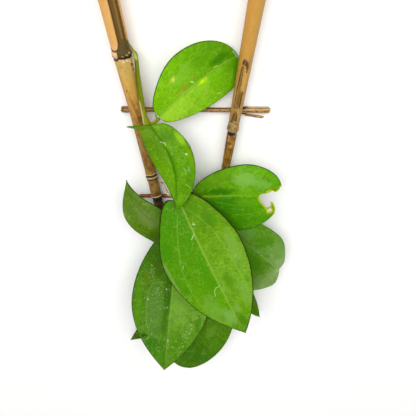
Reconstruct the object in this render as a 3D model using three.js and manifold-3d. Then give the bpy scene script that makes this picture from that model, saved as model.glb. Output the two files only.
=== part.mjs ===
// A young waxplant on its small bamboo trellis, laid down on its back with the leaves facing up.
// Millimetres, +Z up. +Y runs up the canes, +X is to the right, and the surface is at Z = 0.

import * as THREE from "three";
import { mergeVertices } from "three/addons/utils/BufferGeometryUtils.js";
import Module from "manifold-3d";

const wasm = await Module();
wasm.setup();

// Driving dimensions

// The middle of the plant's footprint, which becomes the origin.
const FOOTPRINT = { x: -4.11, y: -1.1 };

// Clear space between pieces that touch.
const SEAT = 0.3;

// The canes lie on the upper crossbar and on their own feet. All run straight from foot to top.
const CANE_FOOT_Y = -56;
const CANE_TOP_Y = 134;
const CROSSING_Y = 58;
const CROSSBAR_HEIGHT = 3.6;

const CANES = {
  cane_left: {
    // The axis seen from above is x = atZero + lean * y.
    atZero: -30.85,
    lean: -0.149,
    // Radius at a few places along Y, straight in between.
    radii: [[-56, 2.2], [6, 3.0], [62, 3.65], [88, 4.7], [134, 5.5]],
    // Joints of the bamboo: place along Y, swelling of the radius, half length of the swelling.
    joints: [[-33, 0.25, 2.0], [4.6, 0.3, 1.6], [18, 0.4, 2.2], [90, 0.45, 2.4], [119, 0.5, 2.6]],
    // The flat channel that a side branch left above a joint: from, to, depth, direction and half
    // width in degrees round the cane, where 90 is the top.
    channel: { from: 92, to: 119, depth: 0.55, direction: 68, halfWidth: 24 },
    scar: null,
  },
  cane_right: {
    atZero: 7.0,
    lean: 0.145,
    radii: [[-56, 1.9], [26, 2.45], [134, 4.7]],
    joints: [[-22, 0.2, 1.6], [49, 0.4, 2.0], [125, 0.45, 2.4]],
    channel: { from: 50, to: 86, depth: 0.4, direction: 84, halfWidth: 22 },
    // The knot left by a cut branch: place along Y, height, half length, direction, half width.
    scar: { at: 85, height: 0.45, halfLength: 1.6, direction: 86, halfWidth: 30 },
  },
};

// How far the channel takes to reach its full depth from its lower and from its upper end.
const CHANNEL_FADE = { lower: 3, upper: 8 };

// The hollow in the sawn ends, as a share of the cane's radius and in millimetres.
const PITH = { radius: 0.3, depth: 3 };

// The upper crossbar is a split cane with a flat underside and a loose sliver at its right end.
const UPPER_BAR = { from: [-48.9, 58.0], to: [34.9, 57.6], width: 3.3 };
const SLIVER = { from: [20.2, 54.9], to: [31.8, 53.1], width: 1.4, height: 1.3 };
const LOWER_BAR = { from: [-43.2, 2.3], to: [23.0, 2.0], width: 2.2, height: 1.6 };

// Leaf blades: thickness along the midrib and at the margin, and the half width left at both ends.
const BLADE = { middle: 1.3, margin: 0.75, baseHalfWidth: 0.7, tipHalfWidth: 0.3 };

// Each blade is given by its base and tip on the midrib and by a turn about that line. Where two
// numbers stand together, the first is for the leaf's left half and the second for its right half,
// looking from the base to the tip with the face up.
//   halfWidth   widest reach from the midrib
//   widest      where that is, from 0 at the base to 1 at the tip
//   baseTaper   0.5 gives a rounded base, 1 a pointed one
//   tipTaper    0.5 gives a rounded tip, 1 a pointed one, more a drawn-out one
//   lobe        how far the margin sweeps back behind the base
//   ear         an extra lobe beside the base
//   bow         sideways bend of the midrib, and how far it gathers towards the tip
//   arch        rise of the middle along the midrib
//   hollow      rise of the margins above the midrib, or their droop where it is negative
//   wave        height and count of waves along the margin, and where they start
//   droop       how far the tip hangs below the line from base to tip
//   curl        where the end starts to roll under, and the radius of the roll. Away from the midrib
//               the roll starts later, and then sooner again by bend times the square of the distance.
const LEAVES = {
  leaf_upper: {
    base: [-25.4, 58.0, 15.2], tip: [15.3, 88.6, 3.7], turn: -12,
    halfWidth: [19.3, 15.9], widest: [0.52, 0.66], baseTaper: [0.55, 0.66], tipTaper: [0.46, 0.5],
    lobe: [2, 1.5], ear: [0, 0], bow: [-3, 1],
    arch: 3, hollow: [0.5, -1], wave: [0.3, 2, 0], droop: 0, curl: null,
    colour: 0x74b41e,
  },
  leaf_folded: {
    base: [-31.1, 54.3, 17.5], tip: [-18.9, 8.2, 28.0], turn: 0,
    halfWidth: [12.4, 10.4], widest: [0.35, 0.3], baseTaper: [0.34, 0.35], tipTaper: [0.38, 1.8],
    lobe: [1, 4], ear: [0, 8.5], bow: [-6, 1],
    arch: 2, hollow: [-4, -2.5], wave: [0.3, 2, 0], droop: 1, curl: null,
    colour: 0x5fa414,
  },
  leaf_front: {
    base: [-16.8, 9.2, 21.0], tip: [24.1, -78.2, 38.0], turn: 0,
    halfWidth: [24.5, 27.4], widest: [0.37, 0.4], baseTaper: [0.62, 0.78], tipTaper: [1.0, 1.08],
    lobe: [7, 7.5], ear: [0, 0], bow: [0, 1],
    arch: 5, hollow: [-2, -2.5], wave: [0.4, 2, 0.2], droop: 1, curl: null,
    colour: 0x5a9c1c,
  },
  leaf_bitten: {
    base: [-9.5, 8.6, 15.0], tip: [43.2, 10.6, 17.5], turn: 0,
    halfWidth: [19.4, 24], widest: [0.61, 0.49], baseTaper: [0.54, 0.5], tipTaper: [0.33, 0.58],
    lobe: [0.5, 1.5], ear: [0, 0], bow: [-2.4, 1],
    arch: 3, hollow: [-1.5, -1.5], wave: [0.4, 2, 0.5], droop: 1, curl: null,
    colour: 0x58a012,
  },
  leaf_right: {
    base: [-1.9, -7.6, 10.5], tip: [51.9, -52.5, 12.0], turn: 0,
    halfWidth: [18.8, 29.4], widest: [0.6, 0.67], baseTaper: [0.6, 1], tipTaper: [1.8, 0.65],
    lobe: [1, 1], ear: [0, 0], bow: [-2.6, 1],
    arch: 2, hollow: [0.6, 0.6], wave: [0.3, 2, 0], droop: 0,
    curl: { from: 59.1, later: [-0.12, 1.0], bend: [0.015, 0.034], radius: 3.5 },
    colour: 0x5c8f3a,
  },
  leaf_left: {
    base: [-11.4, -30.8, 14.5], tip: [-47.1, 20.4, 15.0], turn: 0,
    halfWidth: [13, 11], widest: [0.5, 0.5], baseTaper: [0.6, 0.6], tipTaper: [1.25, 1.25],
    lobe: [1, 1], ear: [0, 0], bow: [-6.5, 2],
    arch: 1, hollow: [-0.8, 0.6], wave: [0.3, 2, 0.3], droop: 0, curl: null,
    colour: 0x5f8d3c,
  },
  leaf_speckled: {
    base: [-18.7, -13.0, 7.5], tip: [-31.2, -123.5, 28.0], turn: 0,
    halfWidth: [27, 25.8], widest: [0.45, 0.51], baseTaper: [0.95, 0.8], tipTaper: [1.0, 1.1],
    lobe: [1, 2], ear: [0, 0], bow: [0, 1],
    arch: 2, hollow: [-1, -1], wave: [0.4, 2, 0], droop: 0, curl: null,
    colour: 0x4c8420,
  },
  leaf_olive: {
    base: [4.1, -59.9, 10.4], tip: [-15.7, -136.9, 15.0], turn: 0,
    halfWidth: [22.3, 22.3], widest: [0.45, 0.45], baseTaper: [0.6, 0.6], tipTaper: [0.66, 0.42],
    lobe: [2, 2], ear: [0, 0], bow: [0, 1],
    arch: 1.6, hollow: [-0.8, -0.8], wave: [0.3, 2, 0], droop: 1, curl: null,
    colour: 0x4f7f14,
  },
  leaf_tucked_right: {
    base: [2.6, -42.7, 7.6], tip: [36.6, -90.7, 9.0], turn: 0,
    halfWidth: [9, 6.5], widest: [0.45, 0.5], baseTaper: [0.7, 0.7], tipTaper: [1, 0.8],
    lobe: [1, 1], ear: [0, 0], bow: [0, 1],
    arch: 0.5, hollow: [-0.3, -0.3], wave: [0, 2, 0], droop: 0, curl: null,
    colour: 0x4f8420,
  },
  leaf_tucked_left: {
    base: [-3.5, -72.0, 4.0], tip: [-57.5, -117.0, 5.5], turn: 0,
    halfWidth: [10, 10], widest: [0.45, 0.45], baseTaper: [0.7, 0.7], tipTaper: [1, 1],
    lobe: [1, 1], ear: [0, 0], bow: [0, 1],
    arch: 0.5, hollow: [-0.3, -0.3], wave: [0, 2, 0], droop: 0, curl: null,
    colour: 0x3f6a1c,
  },
};

// What has been eaten out of leaf_bitten, in millimetres along its midrib and across to the right.
// The first and last points lie outside the leaf.
const BITE = {
  outline: [
    [51.8, -6.8], [50.8, -5.0], [48.6, -3.9], [47.0, -4.8], [45.0, -4.0], [42.9, -3.5], [40.4, -3.0],
    [39.5, -1.2], [40.1, 1.2], [42.0, 3.8], [43.7, 6.1], [45.1, 6.4], [46.0, 6.0], [46.4, 4.4], [45.9, 2.7],
  ],
  outside: [[47.5, 3.4], [48.6, 5.6], [49.1, 8.0], [48.7, 10.7], [47.4, 13.6]],
  hole: { along: 45.7, across: 8.3, radius: 1.5 },
  beyond: 60,
  depth: 12,
};

// The vine's own stem. It comes from behind the left cane, bends over its edge, runs down beside it
// and then hangs forward under the leaves to its cut end.
const STEM = {
  route: [
    [-48.2, 105.0, 2.9], [-43.6, 96.6, 2.9], [-39.7, 91.2, 4.6], [-37.4, 89.2, 8.9],
    [-36.8, 79.2, 10.0], [-35.8, 66.1, 11.1], [-34.8, 59.6, 12.6], [-33.2, 54.2, 14.6],
    [-27.0, 40.0, 12.6], [-20.5, 22.0, 11.2], [-15.0, 6.9, 12.0], [-11.2, -10.6, 11.2],
    [-6.4, -21.0, 11.8], [-1.5, -31.0, 13.0], [2.8, -42.0, 12.8], [4.5, -52.0, 11.6], [6.4, -57.4, 11.2],
  ],
  // Radius at the growing tip and along the old stem, and the share of the route where that starts.
  radius: [0.7, 1.5],
  thickFrom: 0.3,
  // Knots where leaves or side shoots leave the stem: the point of the route, swelling, half length.
  knots: [[3, 0.3, 1.6], [7, 0.7, 2.4], [10, 0.6, 2.4], [11, 0.6, 2.4], [13, 0.6, 2.2], [15, 0.6, 2.2]],
};

// Leaf stalks and the small bud: route, then the radius at each end. They grow out of the knots.
const LEAF_STALKS = [
  { route: [[-33.2, 54.2, 14.6], [-29.4, 54.7, 15.0], [-26.1, 57.4, 15.2]], radius: [1.0, 0.8] },
  { route: [[-33.2, 54.2, 14.6], [-32.2, 54.6, 15.4], [-31.5, 54.5, 16.2]], radius: [1.1, 0.8] },
  { route: [[-28.6, 55.2, 15.0], [-27.6, 57.4, 15.2], [-28.2, 59.9, 15.2]], radius: [0.7, 0.3] },
  { route: [[-15.0, 6.9, 12.0], [-16.4, 8.0, 15.6], [-17.0, 9.4, 19.8]], radius: [1.2, 0.95] },
  { route: [[-15.0, 6.9, 12.0], [-12.8, 8.0, 14.2], [-10.5, 8.9, 15.0]], radius: [1.1, 0.85] },
  { route: [[-11.2, -10.6, 11.2], [-6.6, -8.0, 11.0], [-2.8, -6.9, 10.5]], radius: [1.1, 0.85] },
  { route: [[-11.2, -10.6, 11.2], [-14.6, -10.4, 9.2], [-18.2, -11.9, 7.6]], radius: [1.1, 0.85] },
  { route: [[-1.5, -31.0, 13.0], [-6.2, -31.8, 14.2], [-10.8, -31.6, 14.5]], radius: [1.1, 0.85] },
  { route: [[-1.5, -31.0, 13.0], [1.0, -37.0, 10.2], [2.2, -42.1, 7.7]], radius: [1.0, 0.7] },
  { route: [[4.5, -52.0, 11.6], [4.8, -56.0, 11.2], [4.4, -59.0, 10.7]], radius: [1.1, 0.85] },
  {
    route: [[4.5, -52.0, 11.6], [2.4, -58.0, 7.4], [0.2, -66.0, 4.8], [-3.0, -71.5, 4.1]],
    radius: [1.0, 0.7],
  },
];

// A dead flower stalk beside the knot behind the front leaf, with a hooked dry end.
const DRY_STALK = {
  route: [
    [-17.6, 7.4, 11.9], [-21.4, 7.6, 11.4], [-24.0, 9.6, 11.2],
    [-25.4, 13.4, 11.6], [-26.6, 16.6, 12.0], [-27.6, 17.2, 11.4],
  ],
  radius: [1.0, 0.6],
};

// Colours and roughness of the pieces that are not leaves.
const FINISH = {
  cane: { colour: 0xd2a056, roughness: 0.55 },
  splitCane: { colour: 0xa07c48, roughness: 0.7 },
  brownCane: { colour: 0x8a4a24, roughness: 0.7 },
  stem: { colour: 0x8a8c1e, roughness: 0.5 },
  dryStalk: { colour: 0xc9b48c, roughness: 0.8 },
};
const LEAF_ROUGHNESS = 0.35;

// How finely the faceted solids are divided.
const CANE_SIDES = 16;
const CANE_RING_STEP = 16;
const CANE_CLOSEST_RINGS = 0.8;
const JOINT_RINGS = [-1.6, -0.7, 0, 0.7, 1.6];
const SCAR_RINGS = [-1.5, 0, 1.5];
const BAR_STEPS = 4;
const STEM_STEPS = 72;
const STEM_SIDES = 8;
const STALK_STEPS = 4;
const DRY_STALK_STEPS = 10;
const STALK_SIDES = 7;
const BLADE_ROWS = 18;
const HALF_BLADE_COLUMNS = 4;
const BITE_STEPS = 3;

// Small helpers

const UP = new THREE.Vector3(0, 0, 1);
const vec = (p) => new THREE.Vector3(p[0], p[1], p[2]);

// A smooth step from 0 to 1.
const rise = (t) => t * t * (3 - 2 * t);

// The value of a table of [place, value] pairs at a place, with straight lines in between.
function between(table, at) {
  const last = table.length - 1;
  for (let k = 1; k <= last; k++) {
    const [a, va] = table[k - 1];
    const [b, vb] = table[k];
    if (at <= b || k === last) return va + ((vb - va) * (at - a)) / (b - a);
  }
}

// A smooth hump of height 1 round distance 0.
function bump(distance, halfLength) {
  return Math.exp(-((distance / halfLength) ** 2));
}

function makeGeometry(points, triangles) {
  const geometry = new THREE.BufferGeometry();
  const numbers = points.flatMap((p) => [p.x, p.y, p.z]);
  geometry.setAttribute("position", new THREE.Float32BufferAttribute(numbers, 3));
  geometry.setIndex(triangles.flat());
  return geometry;
}

function toSolid(geometry) {
  const bare = new THREE.BufferGeometry();
  bare.setAttribute("position", geometry.getAttribute("position"));
  if (geometry.index) bare.setIndex(geometry.index);
  const merged = mergeVertices(bare, 1e-4);
  return new wasm.Manifold(new wasm.Mesh({
    numProp: 3,
    vertProperties: new Float32Array(merged.getAttribute("position").array),
    triVerts: new Uint32Array(merged.index.array),
  }));
}

function toGeometry(solid) {
  const mesh = solid.getMesh();
  const geometry = new THREE.BufferGeometry();
  geometry.setAttribute("position", new THREE.BufferAttribute(new Float32Array(mesh.vertProperties), 3));
  geometry.setIndex(new THREE.BufferAttribute(new Uint32Array(mesh.triVerts), 1));
  return geometry;
}

function fuse(geometries) {
  return toGeometry(geometries.map(toSolid).reduce((whole, next) => whole.add(next)));
}

// A closed rod along a curve. Each ring is { at, radius }, where at runs from 0 to 1 and radius takes
// an angle in degrees: 0 is the side to the right of the way along, and 90 is the top.
function rod(curve, rings, sides) {
  const points = [];
  const triangles = [];
  for (const ring of rings) {
    const centre = curve.getPointAt(ring.at);
    const along = curve.getTangentAt(ring.at);
    const side = along.clone().cross(UP).normalize();
    const top = side.clone().cross(along);
    for (let j = 0; j < sides; j++) {
      const degrees = (360 * (j + 0.5)) / sides;
      const angle = THREE.MathUtils.degToRad(degrees);
      const radius = ring.radius(degrees);
      points.push(centre.clone()
        .addScaledVector(side, radius * Math.cos(angle))
        .addScaledVector(top, radius * Math.sin(angle)));
    }
  }
  for (let i = 0; i + 1 < rings.length; i++) {
    for (let j = 0; j < sides; j++) {
      const next = (j + 1) % sides;
      const [a, b] = [i * sides + j, i * sides + next];
      triangles.push([a, a + sides, b], [b, a + sides, b + sides]);
    }
  }
  const start = points.length;
  points.push(curve.getPointAt(rings[0].at), curve.getPointAt(rings[rings.length - 1].at));
  const lastRing = (rings.length - 1) * sides;
  for (let j = 0; j < sides; j++) {
    const next = (j + 1) % sides;
    triangles.push([start, j, next], [start + 1, lastRing + next, lastRing + j]);
  }
  return makeGeometry(points, triangles);
}

// A rod that tapers evenly, for leaf stalks and the dry stalk.
function stalk({ route, radius }, steps) {
  const curve = new THREE.CatmullRomCurve3(route.map(vec));
  const [first, last] = radius;
  const rings = [];
  for (let k = 0; k <= steps; k++) {
    const at = k / steps;
    rings.push({ at, radius: () => first + (last - first) * at });
  }
  return rod(curve, rings, STALK_SIDES);
}

// Bamboo canes

function caneAxis(cane) {
  const footHeight = between(cane.radii, CANE_FOOT_Y);
  const crossingHeight = CROSSBAR_HEIGHT + SEAT + between(cane.radii, CROSSING_Y);
  const slope = (crossingHeight - footHeight) / (CROSSING_Y - CANE_FOOT_Y);
  const pointAt = (y) => vec([cane.atZero + cane.lean * y, y, footHeight + slope * (y - CANE_FOOT_Y)]);
  return new THREE.LineCurve3(pointAt(CANE_FOOT_Y), pointAt(CANE_TOP_Y));
}

function caneRadius(cane, y, degrees) {
  let radius = between(cane.radii, y);
  for (const [at, swelling, halfLength] of cane.joints) radius += swelling * bump(y - at, halfLength);
  const { from, to, depth, direction, halfWidth } = cane.channel;
  if (y > from && y < to) {
    const fade = Math.min(1, (y - from) / CHANNEL_FADE.lower, (to - y) / CHANNEL_FADE.upper);
    radius -= depth * rise(fade) * bump(degrees - direction, halfWidth);
  }
  if (cane.scar) {
    const { scar } = cane;
    const lengthwise = bump(y - scar.at, scar.halfLength);
    radius += scar.height * lengthwise * bump(degrees - scar.direction, scar.halfWidth);
  }
  return radius;
}

function makeCane(cane) {
  const places = [CANE_TOP_Y];
  for (let y = CANE_FOOT_Y; y < CANE_TOP_Y; y += CANE_RING_STEP) places.push(y);
  for (const [at, , halfLength] of cane.joints) {
    places.push(...JOINT_RINGS.map((step) => at + step * halfLength));
  }
  if (cane.scar) places.push(...SCAR_RINGS.map((step) => cane.scar.at + step * cane.scar.halfLength));
  places.sort((a, b) => a - b);
  const spaced = places.filter((y, k) => k === 0 || y - places[k - 1] > CANE_CLOSEST_RINGS);
  const length = CANE_TOP_Y - CANE_FOOT_Y;
  const rings = spaced.map((y) => ({
    at: (y - CANE_FOOT_Y) / length,
    radius: (degrees) => caneRadius(cane, y, degrees),
  }));
  // The soft pith has shrunk back from both sawn ends.
  const pithRing = (y, end) => ({
    at: (y - CANE_FOOT_Y) / length,
    radius: () => PITH.radius * between(cane.radii, end),
  });
  const foot = [pithRing(CANE_FOOT_Y + PITH.depth, CANE_FOOT_Y), pithRing(CANE_FOOT_Y, CANE_FOOT_Y)];
  const top = [pithRing(CANE_TOP_Y, CANE_TOP_Y), pithRing(CANE_TOP_Y - PITH.depth, CANE_TOP_Y)];
  return rod(caneAxis(cane), [...foot, ...rings, ...top], CANE_SIDES);
}

// Crossbars

// The section of a split bar, in shares of half its width and of its height: a low arch over a flat
// underside.
const BAR_SECTION = [[-0.8, 0], [0.8, 0], [1, 0.45], [0.6, 1], [-0.6, 1], [-1, 0.5]];

function makeBar({ from, to, width, height }) {
  const outline = BAR_SECTION.map(([across, up]) => new THREE.Vector2((across * width) / 2, up * height));
  const start = new THREE.Vector3(from[0], from[1], 0);
  const run = new THREE.Vector3(to[0], to[1], 0).sub(start);
  const geometry = new THREE.ExtrudeGeometry(new THREE.Shape(outline), {
    depth: run.length(),
    steps: BAR_STEPS,
    bevelEnabled: false,
  });
  const along = run.normalize();
  const side = UP.clone().cross(along);
  geometry.applyMatrix4(new THREE.Matrix4().makeBasis(side, UP, along).setPosition(start));
  return geometry;
}

// Leaves

// Where the lobes behind the base and the ear beside it are fullest, as shares of the length, and how
// much later the waves of the right margin come than those of the left one.
const LOBE_AT = 0.05;
const EAR_AT = 0.035;
const WAVE_SHIFT = 0.37;

function leafFrame(leaf) {
  const base = vec(leaf.base);
  const along = vec(leaf.tip).sub(base);
  const length = along.length();
  along.normalize();
  const level = along.clone().cross(UP).normalize();
  const across = level.applyAxisAngle(along, THREE.MathUtils.degToRad(-leaf.turn));
  const face = across.clone().cross(along);
  return { base, along, across, face, length };
}

function halfWidthAt(leaf, side, t) {
  const widest = leaf.widest[side];
  const towardsTip = t > widest;
  const away = towardsTip ? (t - widest) / (1 - widest) : (widest - t) / widest;
  const taper = towardsTip ? leaf.tipTaper[side] : leaf.baseTaper[side];
  const ear = leaf.ear[side] * Math.E * (t / EAR_AT) ** 2 * bump(t, EAR_AT);
  return leaf.halfWidth[side] * Math.max(0, 1 - away * away) ** taper + ear;
}

// A point of the blade's middle surface: t runs from base to tip, and reach from -1 at the left
// margin to 1 at the right margin.
function bladePoint(leaf, frame, t, reach) {
  const side = reach < 0 ? 0 : 1;
  const share = Math.abs(reach);
  const narrowest = BLADE.baseHalfWidth + (BLADE.tipHalfWidth - BLADE.baseHalfWidth) * t;
  const across = share * Math.max(narrowest, halfWidthAt(leaf, side, t));
  const back = leaf.lobe[side] * Math.E * (t / LOBE_AT) * Math.exp(-t / LOBE_AT);
  let distance = frame.length * t - back * share;
  const spread = across / leaf.halfWidth[side];
  const bend = leaf.bow[0] * Math.sin(Math.PI * t ** leaf.bow[1]);
  const [waveHeight, waveCount, waveStart] = leaf.wave;
  const waveAngle = 2 * Math.PI * (waveCount * t + waveStart + WAVE_SHIFT * side);
  let height = leaf.arch * 4 * t * (1 - t)
    + (leaf.hollow[side] + waveHeight * Math.sin(waveAngle)) * spread * spread
    - leaf.droop * t ** 4;
  if (leaf.curl) {
    const { from, later, bend: sooner, radius } = leaf.curl;
    const start = from + (later[side] - sooner[side] * across) * across;
    if (distance > start) {
      const angle = (distance - start) / radius;
      distance = start + radius * Math.sin(angle);
      height -= radius * (1 - Math.cos(angle));
    }
  }
  return frame.base.clone()
    .addScaledVector(frame.along, distance)
    .addScaledVector(frame.across, bend + across * Math.sign(reach))
    .addScaledVector(frame.face, height);
}

// A blade as one closed solid: the middle surface moved up and down by half its thickness, and a
// narrow wall round the margin.
function makeBlade(leaf) {
  const frame = leafFrame(leaf);
  const rows = BLADE_ROWS;
  const columns = 2 * HALF_BLADE_COLUMNS;
  const middle = [];
  for (let i = 0; i <= rows; i++) {
    const t = (1 - Math.cos((Math.PI * i) / rows)) / 2;
    const row = [];
    for (let j = 0; j <= columns; j++) row.push(bladePoint(leaf, frame, t, (2 * j) / columns - 1));
    middle.push(row);
  }
  const faceAt = (i, j) => {
    const forward = middle[Math.min(i + 1, rows)][j].clone().sub(middle[Math.max(i - 1, 0)][j]);
    const sideways = middle[i][Math.min(j + 1, columns)].clone().sub(middle[i][Math.max(j - 1, 0)]);
    return sideways.cross(forward).normalize();
  };
  const upper = [];
  const lower = [];
  for (let i = 0; i <= rows; i++) {
    for (let j = 0; j <= columns; j++) {
      const share = Math.abs((2 * j) / columns - 1);
      const half = (BLADE.middle + (BLADE.margin - BLADE.middle) * share) / 2;
      const face = faceAt(i, j);
      upper.push(middle[i][j].clone().addScaledVector(face, half));
      lower.push(middle[i][j].clone().addScaledVector(face, -half));
    }
  }
  const width = columns + 1;
  const offset = upper.length;
  const triangles = [];
  for (let i = 0; i < rows; i++) {
    for (let j = 0; j < columns; j++) {
      const a = i * width + j;
      const [b, c, d] = [a + 1, a + width, a + width + 1];
      triangles.push([a, b, c], [b, d, c]);
      triangles.push([offset + a, offset + c, offset + b], [offset + b, offset + c, offset + d]);
    }
  }
  const rim = [];
  for (let j = 0; j < columns; j++) rim.push(j);
  for (let i = 0; i < rows; i++) rim.push(i * width + columns);
  for (let j = columns; j > 0; j--) rim.push(rows * width + j);
  for (let i = rows; i > 0; i--) rim.push(i * width);
  rim.forEach((a, k) => {
    const b = rim[(k + 1) % rim.length];
    triangles.push([a, offset + a, b], [b, offset + a, offset + b]);
  });
  return makeGeometry([...upper, ...lower], triangles);
}

// The eaten part as one solid, standing through the blade of leaf_bitten.
function biteSolid(leaf) {
  const { base, along, across, face } = leafFrame(leaf);
  const shape = new THREE.Shape();
  shape.moveTo(BITE.beyond, BITE.outline[0][1]);
  shape.lineTo(...BITE.outline[0]);
  shape.splineThru(BITE.outline.slice(1).map(([s, v]) => new THREE.Vector2(s, v)));
  shape.splineThru(BITE.outside.map(([s, v]) => new THREE.Vector2(s, v)));
  shape.lineTo(BITE.beyond, BITE.outside[BITE.outside.length - 1][1]);
  shape.closePath();
  const hole = new THREE.Shape();
  hole.absarc(BITE.hole.along, BITE.hole.across, BITE.hole.radius, 0, 2 * Math.PI);
  const settings = { depth: BITE.depth, bevelEnabled: false };
  const upright = new THREE.Matrix4().makeBasis(along, across.clone().negate(), face).setPosition(base);
  const solids = [shape, hole].map((outline) => {
    const mirrored = outline.getPoints(BITE_STEPS).map((p) => new THREE.Vector2(p.x, -p.y));
    const geometry = new THREE.ExtrudeGeometry(new THREE.Shape(mirrored), settings);
    geometry.translate(0, 0, -BITE.depth / 2);
    geometry.applyMatrix4(upright);
    return toSolid(geometry);
  });
  return solids[0].add(solids[1]);
}

// Stem

function stemRadius(curve, at) {
  const [thin, thick] = STEM.radius;
  let radius = thin + (thick - thin) * rise(Math.min(1, at / STEM.thickFrom));
  const here = curve.getPointAt(at);
  for (const [point, swelling, halfLength] of STEM.knots) {
    radius += swelling * bump(here.distanceTo(vec(STEM.route[point])), halfLength);
  }
  return radius;
}

function makeStem() {
  const curve = new THREE.CatmullRomCurve3(STEM.route.map(vec), false, "centripetal");
  const rings = [];
  for (let k = 0; k <= STEM_STEPS; k++) {
    const at = k / STEM_STEPS;
    rings.push({ at, radius: () => stemRadius(curve, at) });
  }
  const leafStalks = LEAF_STALKS.map((leafStalk) => stalk(leafStalk, STALK_STEPS));
  return fuse([rod(curve, rings, STEM_SIDES), ...leafStalks]);
}

// The plant

const plant = new THREE.Group();
plant.position.set(-FOOTPRINT.x, -FOOTPRINT.y, 0);

function place(name, geometry, { colour, roughness }) {
  const material = new THREE.MeshStandardMaterial({ color: colour, roughness, metalness: 0 });
  const mesh = new THREE.Mesh(geometry, material);
  mesh.name = name;
  plant.add(mesh);
}

for (const [name, cane] of Object.entries(CANES)) place(name, makeCane(cane), FINISH.cane);
place("crossbar_upper", makeBar({ ...UPPER_BAR, height: CROSSBAR_HEIGHT }), FINISH.splitCane);
place("crossbar_sliver", makeBar(SLIVER), FINISH.splitCane);
place("crossbar_lower", makeBar(LOWER_BAR), FINISH.brownCane);
place("vine_stem", makeStem(), FINISH.stem);
place("dry_stalk", stalk(DRY_STALK, DRY_STALK_STEPS), FINISH.dryStalk);
for (const [name, leaf] of Object.entries(LEAVES)) {
  const blade = makeBlade(leaf);
  const finished = name === "leaf_bitten" ? toGeometry(toSolid(blade).subtract(biteSolid(leaf))) : blade;
  place(name, finished, { colour: leaf.colour, roughness: LEAF_ROUGHNESS });
}

export default plant;
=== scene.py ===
"""The finish of a young waxplant on its small bamboo trellis, laid on its back with the leaves up.

Sizes are in millimetres, in the plant's own drawing frame, and FOOTPRINT moves them to the row frame.
"""

import math
import random

import bpy
from mathutils import Matrix, Vector


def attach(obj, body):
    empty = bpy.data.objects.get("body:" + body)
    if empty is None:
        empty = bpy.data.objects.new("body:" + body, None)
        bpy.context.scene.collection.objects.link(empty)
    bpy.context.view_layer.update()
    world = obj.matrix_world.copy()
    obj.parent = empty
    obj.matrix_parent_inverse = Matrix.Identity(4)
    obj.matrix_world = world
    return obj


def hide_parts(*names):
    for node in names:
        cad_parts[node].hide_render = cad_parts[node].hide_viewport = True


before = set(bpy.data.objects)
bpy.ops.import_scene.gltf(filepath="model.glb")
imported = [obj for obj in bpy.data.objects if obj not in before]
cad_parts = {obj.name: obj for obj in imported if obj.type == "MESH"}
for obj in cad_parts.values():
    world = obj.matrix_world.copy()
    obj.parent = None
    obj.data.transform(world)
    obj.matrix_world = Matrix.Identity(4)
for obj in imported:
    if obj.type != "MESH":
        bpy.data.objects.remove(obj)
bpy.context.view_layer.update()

MM = 0.001
FOOTPRINT = Vector((4.11, 1.1, 0.0))

# Nodes of formulas


def shown(sockets, name=None):
    """The first socket in use, or the one in use with that name."""
    for socket in sockets:
        if socket.enabled and name in (None, socket.name):
            return socket
    raise KeyError(name)


class Field:
    """A number, vector, colour or geometry that one node of a tree puts out."""

    def __init__(self, tree, socket):
        self.tree = tree
        self.socket = socket

    def also(self, name):
        """Another output of the same node."""
        return Field(self.tree, shown(self.socket.node.outputs, name))

    def __add__(self, other):
        return self.tree.calc("ADD", self, other)

    def __sub__(self, other):
        return self.tree.calc("SUBTRACT", self, other)

    def __rsub__(self, other):
        return self.tree.calc("SUBTRACT", other, self)

    def __mul__(self, other):
        return self.tree.calc("MULTIPLY", self, other)

    def __truediv__(self, other):
        return self.tree.calc("DIVIDE", self, other)

    def __pow__(self, other):
        return self.tree.calc("POWER", self, other)

    __radd__ = __add__
    __rmul__ = __mul__


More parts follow.
